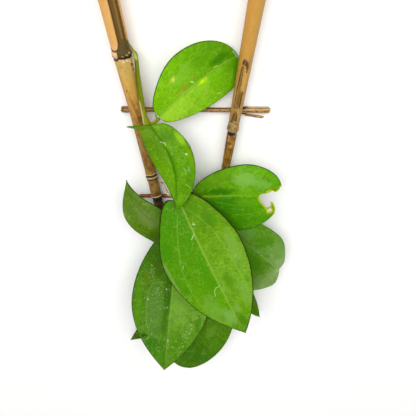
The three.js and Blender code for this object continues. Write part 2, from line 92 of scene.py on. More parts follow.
class Tree:
    """A node tree, with short calls that add nodes and read like the formulas they stand for."""

    def __init__(self, nodes):
        self.nodes = nodes

    def feed(self, socket, term):
        """Links a field to a socket, or sets the socket to a plain value."""
        if isinstance(term, Field):
            self.nodes.links.new(term.socket, socket)
        elif term is not None:
            socket.default_value = term

    def add(self, kind, *terms, named=None, **settings):
        """Adds a node and feeds its inputs in order or by name. Gives its first output in use."""
        node = self.nodes.nodes.new(kind)
        for name, value in settings.items():
            setattr(node, name, value)
        in_use = [socket for socket in node.inputs if socket.enabled]
        pairs = list(zip(in_use, terms))
        pairs += [(shown(node.inputs, name), term) for name, term in (named or {}).items()]
        for socket, term in pairs:
            self.feed(socket, term)
        return Field(self, shown(node.outputs))

    def calc(self, operation, *terms):
        return self.add("ShaderNodeMath", *terms, operation=operation)

    def vector(self, operation, *terms):
        return self.add("ShaderNodeVectorMath", *terms, operation=operation)

    def scaled(self, vector, factor):
        return self.add("ShaderNodeVectorMath", named={"Vector": vector, "Scale": factor}, operation="SCALE")

    def xyz(self, x=0.0, y=0.0, z=0.0):
        return self.add("ShaderNodeCombineXYZ", x, y, z)

    def parts(self, vector):
        """The X, Y and Z of a vector."""
        x = self.add("ShaderNodeSeparateXYZ", vector)
        return x, x.also("Y"), x.also("Z")

    def reached(self, start, *steps):
        """The place that some steps lead to from the start, each a direction and how far."""
        place = start
        for direction, distance in steps:
            place = self.vector("ADD", place, self.scaled(direction, distance))
        return place

    def bump(self, distance, reach):
        """A smooth hump of height 1 round distance 0."""
        share = self.calc("DIVIDE", distance, reach)
        return self.calc("EXPONENT", share * share * -1.0)

    def rise(self, value, start, end):
        """A smooth step that is 0 at start and 1 at end."""
        bounds = {"Value": value, "From Min": start, "From Max": end}
        return self.add("ShaderNodeMapRange", named=bounds, interpolation_type="SMOOTHSTEP")

    def choose(self, share, first, second):
        """The first number at share 0 and the second at share 1."""
        return self.add("ShaderNodeMix", share, first, second, data_type="FLOAT")

    def tint(self, share, first, second):
        """The first colour at share 0 and the second at share 1."""
        return self.add("ShaderNodeMix", share, first, second, data_type="RGBA")

    def darken(self, share, first, second):
        """The first colour, multiplied by the second one as far as share says."""
        return self.add("ShaderNodeMix", share, first, second, data_type="RGBA", blend_type="MULTIPLY")

    def noise(self, vector, scale, detail=2.0, roughness=0.5):
        named = {"Vector": vector, "Scale": scale, "Detail": detail, "Roughness": roughness}
        return self.add("ShaderNodeTexNoise", named=named)

    def grain(self, vector, fineness, detail=2.0, roughness=0.5):
        """Drawn-out noise. Fineness says for X, Y and Z how quickly it changes that way."""
        return self.noise(self.vector("MULTIPLY", vector, fineness), 1.0, detail, roughness)

    def ramp(self, value, stops):
        """A colour that runs through stops, which are pairs of place and colour."""
        field = self.add("ShaderNodeValToRGB", value)
        elements = field.socket.node.color_ramp.elements
        while len(elements) < len(stops):
            elements.new(1.0)
        for element, (place, tone) in zip(elements, stops):
            element.position = place
            element.color = colour(tone)
        return field

    def use(self, group, **terms):
        """Places a node group and feeds its inputs by name, with a space for each underscore."""
        node = self.nodes.nodes.new(self.group_node)
        node.node_tree = group.nodes
        for name, term in terms.items():
            self.feed(node.inputs[name.replace("_", " ")], term)
        return Field(self, node.outputs[0])


class Group(Tree):
    """A node group with named inputs and outputs."""

    def __init__(self, name, kind, inputs, outputs):
        super().__init__(bpy.data.node_groups.new(name, kind + "NodeTree"))
        self.group_node = kind + "NodeGroup"
        self.identifiers = {}
        for direction, sockets in (("INPUT", inputs), ("OUTPUT", outputs)):
            for label, socket_type in sockets.items():
                socket = self.nodes.interface.new_socket(
                    label, in_out=direction, socket_type="NodeSocket" + socket_type
                )
                self.identifiers[label] = socket.identifier
        given = self.nodes.nodes.new("NodeGroupInput")
        self.given = {label: Field(self, given.outputs[label]) for label in inputs}
        self.output = self.nodes.nodes.new("NodeGroupOutput")

    def give(self, **fields):
        """Links the results to the group's outputs, with a space for each underscore."""
        for label, field in fields.items():
            self.nodes.links.new(field.socket, self.output.inputs[label.replace("_", " ")])


class Shape(Group):
    """A geometry tree with one result."""

    def __init__(self, name, inputs):
        super().__init__(name, "Geometry", inputs, {"Shape": "Geometry"})

    def named(self, name, data_type="FLOAT"):
        """Reads an attribute."""
        return self.add("GeometryNodeInputNamedAttribute", named={"Name": name}, data_type=data_type)

    def store(self, geometry, name, field, data_type="FLOAT", domain="POINT"):
        named = {"Geometry": geometry, "Name": name, "Value": field}
        return self.add("GeometryNodeStoreNamedAttribute", named=named, data_type=data_type, domain=domain)

    def join(self, *geometries):
        node = self.nodes.nodes.new("GeometryNodeJoinGeometry")
        for geometry in geometries:
            self.nodes.links.new(geometry.socket, node.inputs[0])
        return Field(self, node.outputs[0])

    def moved(self, geometry, position=None, offset=None):
        return self.add("GeometryNodeSetPosition", geometry, named={"Position": position, "Offset": offset})

    def welded(self, geometry, closest=0.0005):
        return self.add("GeometryNodeMergeByDistance", geometry, named={"Distance": closest})

    def swept(self, curve, radius, sides):
        """A closed tube along a curve."""
        profile = self.add("GeometryNodeCurvePrimitiveCircle", sides, named={"Radius": 1.0})
        named = {"Profile Curve": profile, "Scale": radius, "Fill Caps": True}
        return self.add("GeometryNodeCurveToMesh", curve, named=named)

    def finish(self, geometry, material):
        """Shades the geometry smoothly and gives it a material."""
        smooth = self.add("GeometryNodeSetShadeSmooth", geometry, named={"Shade Smooth": True})
        return self.add("GeometryNodeSetMaterial", smooth, named={"Material": material})

    def hand_over(self, geometry):
        """Moves what is drawn in millimetres to the row frame, as the tree's result."""
        named = {"Translation": FOOTPRINT * MM, "Scale": (MM, MM, MM)}
        self.give(Shape=self.add("GeometryNodeTransform", geometry, named=named))


class Surface(Tree):
    """The node tree of a material, with its one Principled BSDF."""

    group_node = "ShaderNodeGroup"

    def __init__(self, name, **constants):
        self.material = bpy.data.materials.new(name)
        self.material.use_nodes = True
        super().__init__(self.material.node_tree)
        self.shader = self.nodes.nodes["Principled BSDF"]
        for label, value in constants.items():
            self.shader.inputs[label.replace("_", " ")].default_value = value

    def attribute(self, name, output="Fac"):
        return self.add("ShaderNodeAttribute", attribute_name=name).also(output)

    def place(self):
        """Where the point is in the row frame, in millimetres."""
        coordinates = self.add("ShaderNodeTexCoord").also("Object")
        return self.scaled(coordinates, 1.0 / MM)

    def finish(self, base_colour, roughness, height, relief):
        """Links the results to the shader. relief is how many millimetres a height of 1 stands up."""
        bump = self.add("ShaderNodeBump", named={"Height": height, "Distance": relief * MM})
        for label, field in (("Base Color", base_colour), ("Roughness", roughness), ("Normal", bump)):
            self.nodes.links.new(field.socket, self.shader.inputs[label])
        return self.material


def colour(tone):
    """A tone written as red, green and blue in hex, as the linear colour that nodes take."""
    channels = [int(tone[k:k + 2], 16) / 255 for k in (0, 2, 4)]
    linear = [c / 12.92 if c <= 0.04045 else ((c + 0.055) / 1.055) ** 2.4 for c in channels]
    return (*linear, 1.0)


def vec(*numbers):
    return Vector(numbers)


# Marks that the canes, the stem and the leaves share

COLOUR = "Color"
NUMBER = "Float"
PLACE = "Vector"

# In shares of its half size, where a patch ends, where it is full and how ragged its border is. A
# scratch is full out to a share of its width.
PATCH_END = 1.4
PATCH_FULL = 0.25
PATCH_RAGGED = 1.4
SCRATCH_FULL = 0.3


def make_soft_patch():
    """A soft, ragged oval patch. Grain says how fine its border is."""
    inputs = {"Spot": PLACE, "Centre": PLACE, "Size": PLACE, "Grain": NUMBER}
    group = Group("soft patch", "Shader", inputs, {"Mask": NUMBER})
    spot = group.given["Spot"]
    away = group.vector("DIVIDE", group.vector("SUBTRACT", spot, group.given["Centre"]), group.given["Size"])
    x, y, _ = group.parts(away)
    distance = group.calc("SQRT", x * x + y * y)
    ragged = group.noise(spot, group.given["Grain"], 3.0, 0.6) - 0.5
    inside = group.rise(distance + ragged * PATCH_RAGGED, PATCH_END, PATCH_FULL)
    group.give(Mask=inside * inside * (3.0 - inside * 2.0))
    return group


def make_scratch():
    """A short fine scratch or dry mark, from one place to another."""
    inputs = {"Spot": PLACE, "From": PLACE, "To": PLACE, "Width": NUMBER}
    group = Group("scratch", "Shader", inputs, {"Mask": NUMBER})
    spot, start, end = (group.given[label] for label in ("Spot", "From", "To"))
    run = group.vector("SUBTRACT", end, start)
    offset = group.vector("MULTIPLY", group.vector("SUBTRACT", spot, start), (1.0, 1.0, 0.0))
    reached = group.vector("DOT_PRODUCT", offset, run).also("Value")
    whole = group.vector("DOT_PRODUCT", run, run).also("Value")
    share = group.calc("MINIMUM", group.calc("MAXIMUM", reached / whole, 0.0), 1.0)
    nearest = group.vector("SUBTRACT", offset, group.scaled(run, share))
    distance = group.vector("LENGTH", nearest).also("Value")
    broken = group.noise(spot, 2.5, 2.0, 0.6)
    reach = group.given["Width"] * (broken + 0.25)
    group.give(Mask=group.rise(distance, reach, reach * SCRATCH_FULL))
    return group


def with_patches(surface, group, spot, tone, patches, grain, shown=1.0):
    """Lays patches over a tone: their place and half size along and across, their tone and strength."""
    for centre, size, patch, strength in patches:
        mask = surface.use(group, Spot=spot, Centre=(*centre, 0.0), Size=(*size, 1.0), Grain=grain)
        tone = surface.tint(mask * (shown * strength), tone, colour(patch))
    return tone


def with_strokes(surface, group, spot, tone, strokes, shown):
    """Lays strokes over a tone: their two ends, width and tone."""
    for start, end, width, mark in strokes:
        mask = surface.use(group, Spot=spot, From=(*start, 0.0), To=(*end, 0.0), Width=width)
        tone = surface.tint(mask * shown, tone, colour(mark))
    return tone


# Leaf blades, by the same formula and sizes as the solids

BLADE_MIDDLE = 1.3
BLADE_MARGIN = 0.75
BASE_HALF_WIDTH = 0.7
TIP_HALF_WIDTH = 0.3
LOBE_AT = 0.05
EAR_AT = 0.035
WAVE_SHIFT = 0.37

# Two numbers are for the left and the right half of a blade. Each half is widest at a share of the way
# from base to tip, and the smaller a taper is, the blunter is that end. Lobes reach back beside the
# stalk, and an ear stands out there. A blade bows sideways, and its bow gathers towards the tip. Arch
# lifts its middle, hollow its margins, and droop lowers its tip. A wave of the margins has its height,
# count and start. Turn is in degrees about the midrib. A curled tip rolls under beyond a place on the
# midrib, and the roll starts later, along a bent line, for each millimetre beside it.
PLAIN_BLADE = {
    "turn": 0, "lobe": (1, 1), "ear": (0, 0), "bow": (0, 1), "droop": 0, "wave": (0.3, 2, 0),
    "curl": {"from": 1000.0, "later": (0.0, 0.0), "bend": (0.0, 0.0), "radius": 1.0},
}
BLADES = {
    "leaf_upper": {
        "base": (-25.4, 58.0, 15.2), "tip": (15.3, 88.6, 3.7), "turn": -12,
        "half_width": (19.3, 15.9), "widest": (0.52, 0.66), "base_taper": (0.55, 0.66),
        "tip_taper": (0.46, 0.5), "lobe": (2, 1.5), "bow": (-3, 1), "arch": 3, "hollow": (0.5, -1),
    },
    "leaf_folded": {
        "base": (-31.1, 54.3, 17.5), "tip": (-18.9, 8.2, 28.0), "half_width": (12.4, 10.4),
        "widest": (0.35, 0.3), "base_taper": (0.34, 0.35), "tip_taper": (0.38, 1.8), "lobe": (1, 4),
        "ear": (0, 8.5), "bow": (-6, 1), "arch": 2, "hollow": (-4, -2.5), "droop": 1,
    },
    "leaf_front": {
        "base": (-16.8, 9.2, 21.0), "tip": (24.1, -78.2, 38.0), "half_width": (24.5, 27.4),
        "widest": (0.37, 0.4), "base_taper": (0.62, 0.78), "tip_taper": (1.0, 1.08),
        "lobe": (7, 7.5), "arch": 5, "hollow": (-2, -2.5), "wave": (0.4, 2, 0.2), "droop": 1,
    },
    "leaf_bitten": {
        "base": (-9.5, 8.6, 15.0), "tip": (43.2, 10.6, 17.5), "half_width": (19.4, 24),
        "widest": (0.61, 0.49), "base_taper": (0.54, 0.5), "tip_taper": (0.33, 0.58),
        "lobe": (0.5, 1.5), "bow": (-2.4, 1), "arch": 3, "hollow": (-1.5, -1.5),
        "wave": (0.4, 2, 0.5), "droop": 1,
    },
    "leaf_right": {
        "base": (-1.9, -7.6, 10.5), "tip": (51.9, -52.5, 12.0), "half_width": (18.8, 29.4),
        "widest": (0.6, 0.67), "base_taper": (0.6, 1), "tip_taper": (1.8, 0.65),
        "bow": (-2.6, 1), "arch": 2, "hollow": (0.6, 0.6),
        "curl": {"from": 59.1, "later": (-0.12, 1.0), "bend": (0.015, 0.034), "radius": 3.5},
    },
    "leaf_left": {
        "base": (-11.4, -30.8, 14.5), "tip": (-47.1, 20.4, 15.0), "half_width": (13, 11),
        "widest": (0.5, 0.5), "base_taper": (0.6, 0.6), "tip_taper": (1.25, 1.25),
        "bow": (-6.5, 2), "arch": 1, "hollow": (-0.8, 0.6), "wave": (0.3, 2, 0.3),
    },
    "leaf_speckled": {
        "base": (-18.7, -13.0, 7.5), "tip": (-31.2, -123.5, 28.0), "half_width": (27, 25.8),
        "widest": (0.45, 0.51), "base_taper": (0.95, 0.8), "tip_taper": (1.0, 1.1),
        "lobe": (1, 2), "arch": 2, "hollow": (-1, -1), "wave": (0.4, 2, 0),
    },
    "leaf_olive": {
        "base": (4.1, -59.9, 10.4), "tip": (-15.7, -136.9, 15.0), "half_width": (22.3, 22.3),
        "widest": (0.45, 0.45), "base_taper": (0.6, 0.6), "tip_taper": (0.66, 0.42),
        "lobe": (2, 2), "arch": 1.6, "hollow": (-0.8, -0.8), "droop": 1,
    },
    "leaf_tucked_right": {
        "base": (2.6, -42.7, 7.6), "tip": (36.6, -90.7, 9.0), "half_width": (9, 6.5),
        "widest": (0.45, 0.5), "base_taper": (0.7, 0.7), "tip_taper": (1, 0.8),
        "arch": 0.5, "hollow": (-0.3, -0.3), "wave": (0, 2, 0),
    },
    "leaf_tucked_left": {
        "base": (-3.5, -72.0, 4.0), "tip": (-57.5, -117.0, 5.5), "half_width": (10, 10),
        "widest": (0.45, 0.45), "base_taper": (0.7, 0.7), "tip_taper": (1, 1),
        "arch": 0.5, "hollow": (-0.3, -0.3), "wave": (0, 2, 0),
    },
}
LEAVES = {name: {**PLAIN_BLADE, **blade} for name, blade in BLADES.items()}

# The living surface of a blade: how far each half swells beside the sunken midrib, the groove of the
# midrib above and its ridge below, the side veins and where they are furthest from the midrib.
SWELL = 0.55
RIB_GROOVE = 0.3
RIB_GROOVE_WIDTH = 0.7
RIB_RIDGE = 0.7
RIB_RIDGE_WIDTH = 1.1
SIDE_VEIN_SHARE = 0.62
SIDE_VEIN_PEAK = 0.59
SIDE_VEIN_GROOVE = 0.1
SIDE_VEIN_WIDTH = 0.5

LEAF_ROWS = 121
LEAF_COLUMNS = 65
SPECK_THICKNESS = 0.35

MARGIN_FORM = ("Half Width", "Widest", "Base Taper", "Tip Taper", "Lobe", "Ear", "Hollow")
LEFT_AND_RIGHT = (*MARGIN_FORM, "Curl Later", "Curl Bend")
ONE_FOR_BOTH = (
    "Length", "Bow", "Bow Gather", "Arch", "Wave Height", "Wave Count", "Wave Start", "Droop",
    "Curl From", "Curl Radius", "Swell",
)


def blade_inputs():
    inputs = {"Specks": "Geometry", "Rows": "Int", "Columns": "Int"}
    inputs.update({label: "Vector" for label in ("Base", "Along", "Across", "Face")})
    inputs.update({label: "Float" for label in ONE_FOR_BOTH})
    for label in LEFT_AND_RIGHT:
        inputs[label + " Left"] = "Float"
        inputs[label + " Right"] = "Float"
    inputs.update({"Skin": "Material", "Speck Finish": "Material"})
    return inputs


class LeafBlade(Shape):
    """The tree that grows a leaf blade: both faces of its middle surface, and specks on top."""

    def __init__(self):
        super().__init__("leaf blade", blade_inputs())
        # The grid's X becomes the reach from margin to margin, with more columns at the margins and
        # the midrib. Its Y becomes the place from base to tip, with more rows at both ends.
        x, y, _ = self.parts(self.add("GeometryNodeInputPosition"))
        t = (1.0 - self.calc("COSINE", (y + 0.5) * math.pi)) * 0.5
        side = self.calc("GREATER_THAN", x, 0.0)
        share = (1.0 - self.calc("COSINE", self.calc("ABSOLUTE", x) * (2 * math.pi))) * 0.5
        sheet = self.sheet(t, side, share)
        skin = self.welded(self.join(self.upper_face(sheet), self.lower_face(sheet)))
        skin = self.finish(skin, self.given["Skin"])
        self.hand_over(self.join(skin, self.specks()))

    def of_side(self, side, label):
        return self.choose(side, self.given[label + " Left"], self.given[label + " Right"])

    def side_vein(self, t, fullest):
        """How far the main side vein runs from the midrib."""
        return fullest * SIDE_VEIN_SHARE * self.calc("SINE", t * (math.pi / 2 / SIDE_VEIN_PEAK))

    def half_width(self, t, side):
        widest = self.of_side(side, "Widest")
        towards_tip = self.calc("GREATER_THAN", t, widest)
        away = self.choose(towards_tip, (widest - t) / widest, (t - widest) / (1.0 - widest))
        taper = self.choose(towards_tip, self.of_side(side, "Base Taper"), self.of_side(side, "Tip Taper"))
        oval = self.calc("MAXIMUM", 1.0 - away * away, 0.0) ** taper
        ear_place = t * (1 / EAR_AT)
        ear = self.of_side(side, "Ear") * math.e * ear_place * ear_place * self.bump(t, EAR_AT)
        narrowest = t * (TIP_HALF_WIDTH - BASE_HALF_WIDTH) + BASE_HALF_WIDTH
        return self.calc("MAXIMUM", narrowest, oval * self.of_side(side, "Half Width") + ear)

    def height(self, t, side, spread, vein):
        """How high the blade stands above the straight line from its base to its tip."""
        given = self.given
        turns = given["Wave Count"] * t + given["Wave Start"] + side * WAVE_SHIFT
        wave = given["Wave Height"] * self.calc("SINE", turns * (2 * math.pi))
        height = given["Arch"] * 4.0 * t * (1.0 - t)
        height = height + (self.of_side(side, "Hollow") + wave) * spread * spread
        height = height - given["Droop"] * t * t * t * t
        height = height + given["Swell"] * 4.0 * (spread - spread * spread)
        return height - self.bump(vein, SIDE_VEIN_WIDTH) * SIDE_VEIN_GROOVE

    def surface(self, t, side, share):
        """The blade's middle surface at t from base to tip and share from midrib to margin."""
        given = self.given
        fullest = self.of_side(side, "Half Width")
        width = self.half_width(t, side)
        across = share * width
        fade = self.calc("EXPONENT", t * (-1 / LOBE_AT))
        back = self.of_side(side, "Lobe") * (math.e / LOBE_AT) * t * fade
        distance = given["Length"] * t - back * share
        vein = self.calc("ABSOLUTE", across - self.side_vein(t, fullest))
        height = self.height(t, side, across / fullest, vein)
        later = self.of_side(side, "Curl Later") - self.of_side(side, "Curl Bend") * across
        start = given["Curl From"] + later * across
        angle = self.calc("MAXIMUM", distance - start, 0.0) / given["Curl Radius"]
        rolled = self.calc("MINIMUM", distance, start) + given["Curl Radius"] * self.calc("SINE", angle)
        height = height - given["Curl Radius"] * (1.0 - self.calc("COSINE", angle))
        bend = given["Bow"] * self.calc("SINE", (t ** given["Bow Gather"]) * math.pi)
        sideways = bend + across * (side * 2.0 - 1.0)
        steps = ((given["Along"], rolled), (given["Across"], sideways), (given["Face"], height))
        place = self.reached(given["Base"], *steps)
        return {"place": place, "width": width, "across": across, "distance": distance, "vein": vein}

    def sheet(self, t, side, share):
        """The middle surface, with what the two faces and the finish need to know about each point."""
        blade = self.surface(t, side, share)
        spot = self.xyz(blade["distance"], blade["across"] * (side * 2.0 - 1.0), t)
        sheet = self.add("GeometryNodeMeshGrid", 1.0, 1.0, self.given["Columns"], self.given["Rows"])
        sheet = self.store(sheet, "spot", spot, "FLOAT_VECTOR")
        sheet = self.store(sheet, "edge", blade["width"] * (1.0 - share))
        sheet = self.store(sheet, "vein", blade["vein"])
        sheet = self.store(sheet, "wide", blade["width"])
        sheet = self.store(sheet, "share", share)
        return self.moved(sheet, position=blade["place"])

    def rounding(self, distance, radius):
        """1 inside the blade, falling along a quarter circle to 0 at its edge."""
        short = 1.0 - self.calc("MINIMUM", distance / radius, 1.0)
        return self.calc("SQRT", self.calc("MAXIMUM", 1.0 - short * short, 0.0))

    def half_thickness(self):
        """Half the thickness, then the place across and along, and 1 away from the margin."""
        _, across, t = self.parts(self.named("spot", "FLOAT_VECTOR"))
        edge, wide, share = (self.named(name) for name in ("edge", "wide", "share"))
        end = self.calc("MINIMUM", t, 1.0 - t) * self.given["Length"]
        half = self.choose(share, BLADE_MIDDLE / 2, BLADE_MARGIN / 2)
        half = half * self.rounding(edge, self.calc("MINIMUM", wide, BLADE_MARGIN / 2))
        half = half * self.rounding(end, BLADE_MARGIN / 2)
        return half, across, t, self.rise(edge, 0.0, BLADE_MARGIN)

    def upper_face(self, sheet):
        half, across, _, inside = self.half_thickness()
        lift = half - self.bump(across, RIB_GROOVE_WIDTH) * RIB_GROOVE * inside
        face = self.moved(sheet, offset=self.scaled(self.add("GeometryNodeInputNormal"), lift))
        return self.store(face, "upper", 1.0)

    def lower_face(self, sheet):
        half, across, t, inside = self.half_thickness()
        ridge = self.bump(across, RIB_RIDGE_WIDTH) * RIB_RIDGE * inside * (1.0 - t)
        lift = (half + ridge) * -1.0
        face = self.moved(sheet, offset=self.scaled(self.add("GeometryNodeInputNormal"), lift))
        return self.add("GeometryNodeFlipFaces", self.store(face, "upper", 0.0))

    def specks(self):
        """Small dry specks, which lie on the upper face where the points of the input say."""
        t, reach, size = (self.named(name) for name in ("speck_t", "speck_reach", "speck_size"))
        share = self.calc("ABSOLUTE", reach)
        place = self.surface(t, self.calc("GREATER_THAN", reach, 0.0), share)["place"]
        lift = self.choose(share, BLADE_MIDDLE / 2, BLADE_MARGIN / 2)
        place = self.vector("ADD", place, self.scaled(self.given["Face"], lift))
        points = self.moved(self.given["Specks"], position=place)
        speck = self.add("GeometryNodeMeshIcoSphere", 0.5, 2)
        turn = self.add("FunctionNodeAlignRotationToVector", named={"Vector": self.given["Face"]}, axis="Z")
        scale = self.xyz(size, size, size * SPECK_THICKNESS)
        named = {"Points": points, "Instance": speck, "Rotation": turn, "Scale": scale}
        specks = self.add("GeometryNodeInstanceOnPoints", named=named)
        return self.finish(self.add("GeometryNodeRealizeInstances", specks), self.given["Speck Finish"])


def leaf_frame(leaf):
    """The directions along the midrib, across the blade and out of its face, and the length."""
    base = Vector(leaf["base"])
    along = Vector(leaf["tip"]) - base
    length = along.length
    along.normalize()
    across = along.cross(Vector((0, 0, 1))).normalized()
    across.rotate(Matrix.Rotation(math.radians(-leaf["turn"]), 3, along))
    return base, along, across, across.cross(along), length


def blade_values(leaf):
    """The modifier's values for one leaf, by the names of the tree's inputs."""
    base, along, across, face, length = leaf_frame(leaf)
    values = {
        "Rows": LEAF_ROWS, "Columns": LEAF_COLUMNS, "Base": base, "Along": along, "Across": across,
        "Face": face, "Length": length, "Bow": leaf["bow"][0], "Bow Gather": leaf["bow"][1],
        "Arch": leaf["arch"], "Droop": leaf["droop"], "Curl From": leaf["curl"]["from"],
        "Curl Radius": leaf["curl"]["radius"], "Swell": SWELL,
    }
    values["Wave Height"], values["Wave Count"], values["Wave Start"] = leaf["wave"]
    pairs = {label: leaf[label.lower().replace(" ", "_")] for label in MARGIN_FORM}
    pairs.update({"Curl Later": leaf["curl"]["later"], "Curl Bend": leaf["curl"]["bend"]})
    for label, (left, right) in pairs.items():
        values[label + " Left"] = left
        values[label + " Right"] = right
    return values


def set_inputs(modifier, group, values):
    for label, value in values.items():
        identifier = group.identifiers[label]
        kind = group.nodes.interface.items_tree[label].socket_type
        if kind == "NodeSocketFloat":
            value = float(value)
        elif kind == "NodeSocketVector":
            value = [float(part) for part in value]
        modifier[identifier] = value


def new_object(name, mesh):
    piece = bpy.data.objects.new(name, mesh)
    bpy.context.scene.collection.objects.link(piece)
    return piece


def points_mesh(name, points, attributes, edges=()):
    """A mesh of loose points or lines, with a number for each point by attribute name."""
    mesh = bpy.data.meshes.new(name)
    mesh.from_pydata(points, list(edges), [])
    for label, numbers in attributes.items():
        mesh.attributes.new(label, "FLOAT", "POINT").data.foreach_set("value", numbers)
    return mesh


def settle(piece):
    """Turns a piece with modifiers into a plain mesh."""
    depsgraph = bpy.context.evaluated_depsgraph_get()
    mesh = bpy.data.meshes.new_from_object(
        piece.evaluated_get(depsgraph), preserve_all_data_layers=True, depsgraph=depsgraph
    )
    piece.modifiers.clear()
    piece.data = mesh
    mesh.name = piece.name
    # The tree leaves the empty place of the loose points' own material in front.
    if mesh.materials[0] is None:
        mesh.materials.pop(index=0)
    return piece


def grow(name, group, mesh, values):
    """A piece that a tree makes from points or lines, as a plain mesh."""
    piece = new_object(name, mesh)
    modifier = piece.modifiers.new("grow", "NODES")
    modifier.node_group = group.nodes
    set_inputs(modifier, group, values)
    return settle(piece)


def stand_for(piece, node):
    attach(piece, "root")
    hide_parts(node)


# Lines that follow a route

def smooth_line(points, steps, looseness=0.25):
    """A line that bends smoothly through all the points, with some steps between each two."""
    ends = [points[0] * 2 - points[1], *points, points[-1] * 2 - points[-2]]
    line = [points[0]]
    for a, b, c, d in zip(ends, ends[1:], ends[2:], ends[3:]):
        knots = [0.0]
        for first, second in ((a, b), (b, c), (c, d)):
            knots.append(knots[-1] + (second - first).length_squared ** looseness)
        for k in range(1, steps + 1):
            at = knots[1] + (knots[2] - knots[1]) * k / steps
            row = [a, b, c, d]
            for span in (1, 2):
                row = [
                    row[j].lerp(row[j + 1], (at - knots[j]) / (knots[j + span] - knots[j]))
                    for j in range(len(row) - 1)
                ]
            line.append(row[0].lerp(row[1], (at - knots[1]) / (knots[2] - knots[1])))
    return line


def between(table, at):
    """The value of a table of places and values at a place, with straight lines in between."""
    for (a, first), (b, second) in zip(table, table[1:]):
        if at <= b:
            break
    return first + (second - first) * (at - a) / (b - a)


def hump(distance, half_length):
    return math.exp(-((distance / half_length) ** 2))


def rise(share):
    share = min(1.0, max(0.0, share))
    return share * share * (3 - 2 * share)


# What has been eaten out of the bitten leaf, in millimetres along its midrib and across to the right

BITE_OUTLINE = [
    (60, -6.8), (51.8, -6.8), (50.8, -5.0), (48.6, -3.9), (47.0, -4.8), (45.0, -4.0), (42.9, -3.5),
    (40.4, -3.0), (39.5, -1.2), (40.1, 1.2), (42.0, 3.8), (43.7, 6.1), (45.1, 6.4), (46.0, 6.0),
    (46.4, 4.4), (45.9, 2.7), (47.5, 3.4), (48.6, 5.6), (49.1, 8.0), (48.7, 10.7), (47.4, 13.6), (60, 13.6),
]
BITE_CORNERS = (0, 1, 15, 20, 21)
BITE_HOLE = {"at": (45.7, 8.3), "radius": 1.5, "corners": 28, "ripples": ((3, 0.12), (7, 0.06))}
BITE_DEPTH = 12
BITE_STEPS = 5


def eaten_outlines():
    """The eaten edge, smooth between its corners, and the small round hole beside it."""
    points = [vec(*point, 0.0) for point in BITE_OUTLINE]
    edge = []
    for first, last in zip(BITE_CORNERS, BITE_CORNERS[1:]):
        stretch = points[first:last + 1]
        edge += smooth_line(stretch, BITE_STEPS)[:-1] if len(stretch) > 2 else stretch[:-1]
    edge.append(points[-1])
    hole = []
    for k in range(BITE_HOLE["corners"]):
        angle = 2 * math.pi * k / BITE_HOLE["corners"]
        uneven = sum(share * math.sin(count * angle) for count, share in BITE_HOLE["ripples"])
        reach = BITE_HOLE["radius"] * (1 + uneven)
        hole.append(vec(*BITE_HOLE["at"], 0.0) + vec(math.cos(angle), math.sin(angle), 0.0) * reach)
    return [edge, hole[::-1]]


def eaten_mesh(leaf):
    """Upright walls round what has been eaten, closed at the top and bottom."""
    base, along, across, face, _ = leaf_frame(leaf)
    points, faces = [], []
    for outline in eaten_outlines():
        start, count = len(points), len(outline)
        for height in (-BITE_DEPTH / 2, BITE_DEPTH / 2):
            for spot in outline:
                place = base + along * spot.x + across * spot.y + face * height
                points.append((place + FOOTPRINT) * MM)
        faces.append([start + k for k in reversed(range(count))])
        faces.append([start + count + k for k in range(count)])
        for k in range(count):
            after = (k + 1) % count
            faces.append([start + k, start + after, start + count + after, start + count + k])
    mesh = bpy.data.meshes.new("eaten")
    mesh.from_pydata(points, [], faces)
    return mesh


class Bite(Shape):
    """Cuts the eaten part out of a finished leaf, and measures how far each point is from the cut."""

    def __init__(self):
        super().__init__("bite", {"Leaf": "Geometry", "Eaten": "Object", "Flesh": "Material"})
        spot = self.named("spot", "FLOAT_VECTOR")
        leaf = self.store(self.given["Leaf"], "spot", spot, "FLOAT_VECTOR", "CORNER")
        for name in ("edge", "vein", "upper"):
            leaf = self.store(leaf, name, self.named(name), domain="CORNER")
        eaten = self.add("GeometryNodeObjectInfo", self.given["Eaten"]).also("Geometry")
        eaten = self.add("GeometryNodeSetMaterial", eaten, named={"Material": self.given["Flesh"]})
        named = {"Mesh 1": leaf, "Mesh 2": eaten}
        leaf = self.add("GeometryNodeMeshBoolean", named=named, operation="DIFFERENCE", solver="EXACT")
        away = self.add("GeometryNodeProximity", eaten).also("Distance")
        self.give(Shape=self.store(leaf, "bite", away * (1 / MM)))


def bite_leaf(piece, leaf, flesh):
    eaten = new_object("eaten", eaten_mesh(leaf))
    modifier = piece.modifiers.new("bite", "NODES")
    bite = Bite()
    modifier.node_group = bite.nodes
    set_inputs(modifier, bite, {"Eaten": eaten, "Flesh": flesh})
    settle(piece)
    bpy.data.objects.remove(eaten)


# Bamboo canes, by the same formula and sizes as the solids

CANE_FOOT = -56.0
CANE_TOP = 134.0
CROSSING = 58.0
SEAT = 0.3
CROSSBAR_HEIGHT = 3.6
CANE_SIDES = 48
PITH_SHARE = 0.3
PITH_DEPTH = 3.0
SAWN_EDGE = 0.25
CHANNEL_FADE = (3.0, 8.0)
NO_SCAR = {"at": 0.0, "height": 0.0, "half_length": 1.0, "direction": 0.0, "half_width": 1.0}

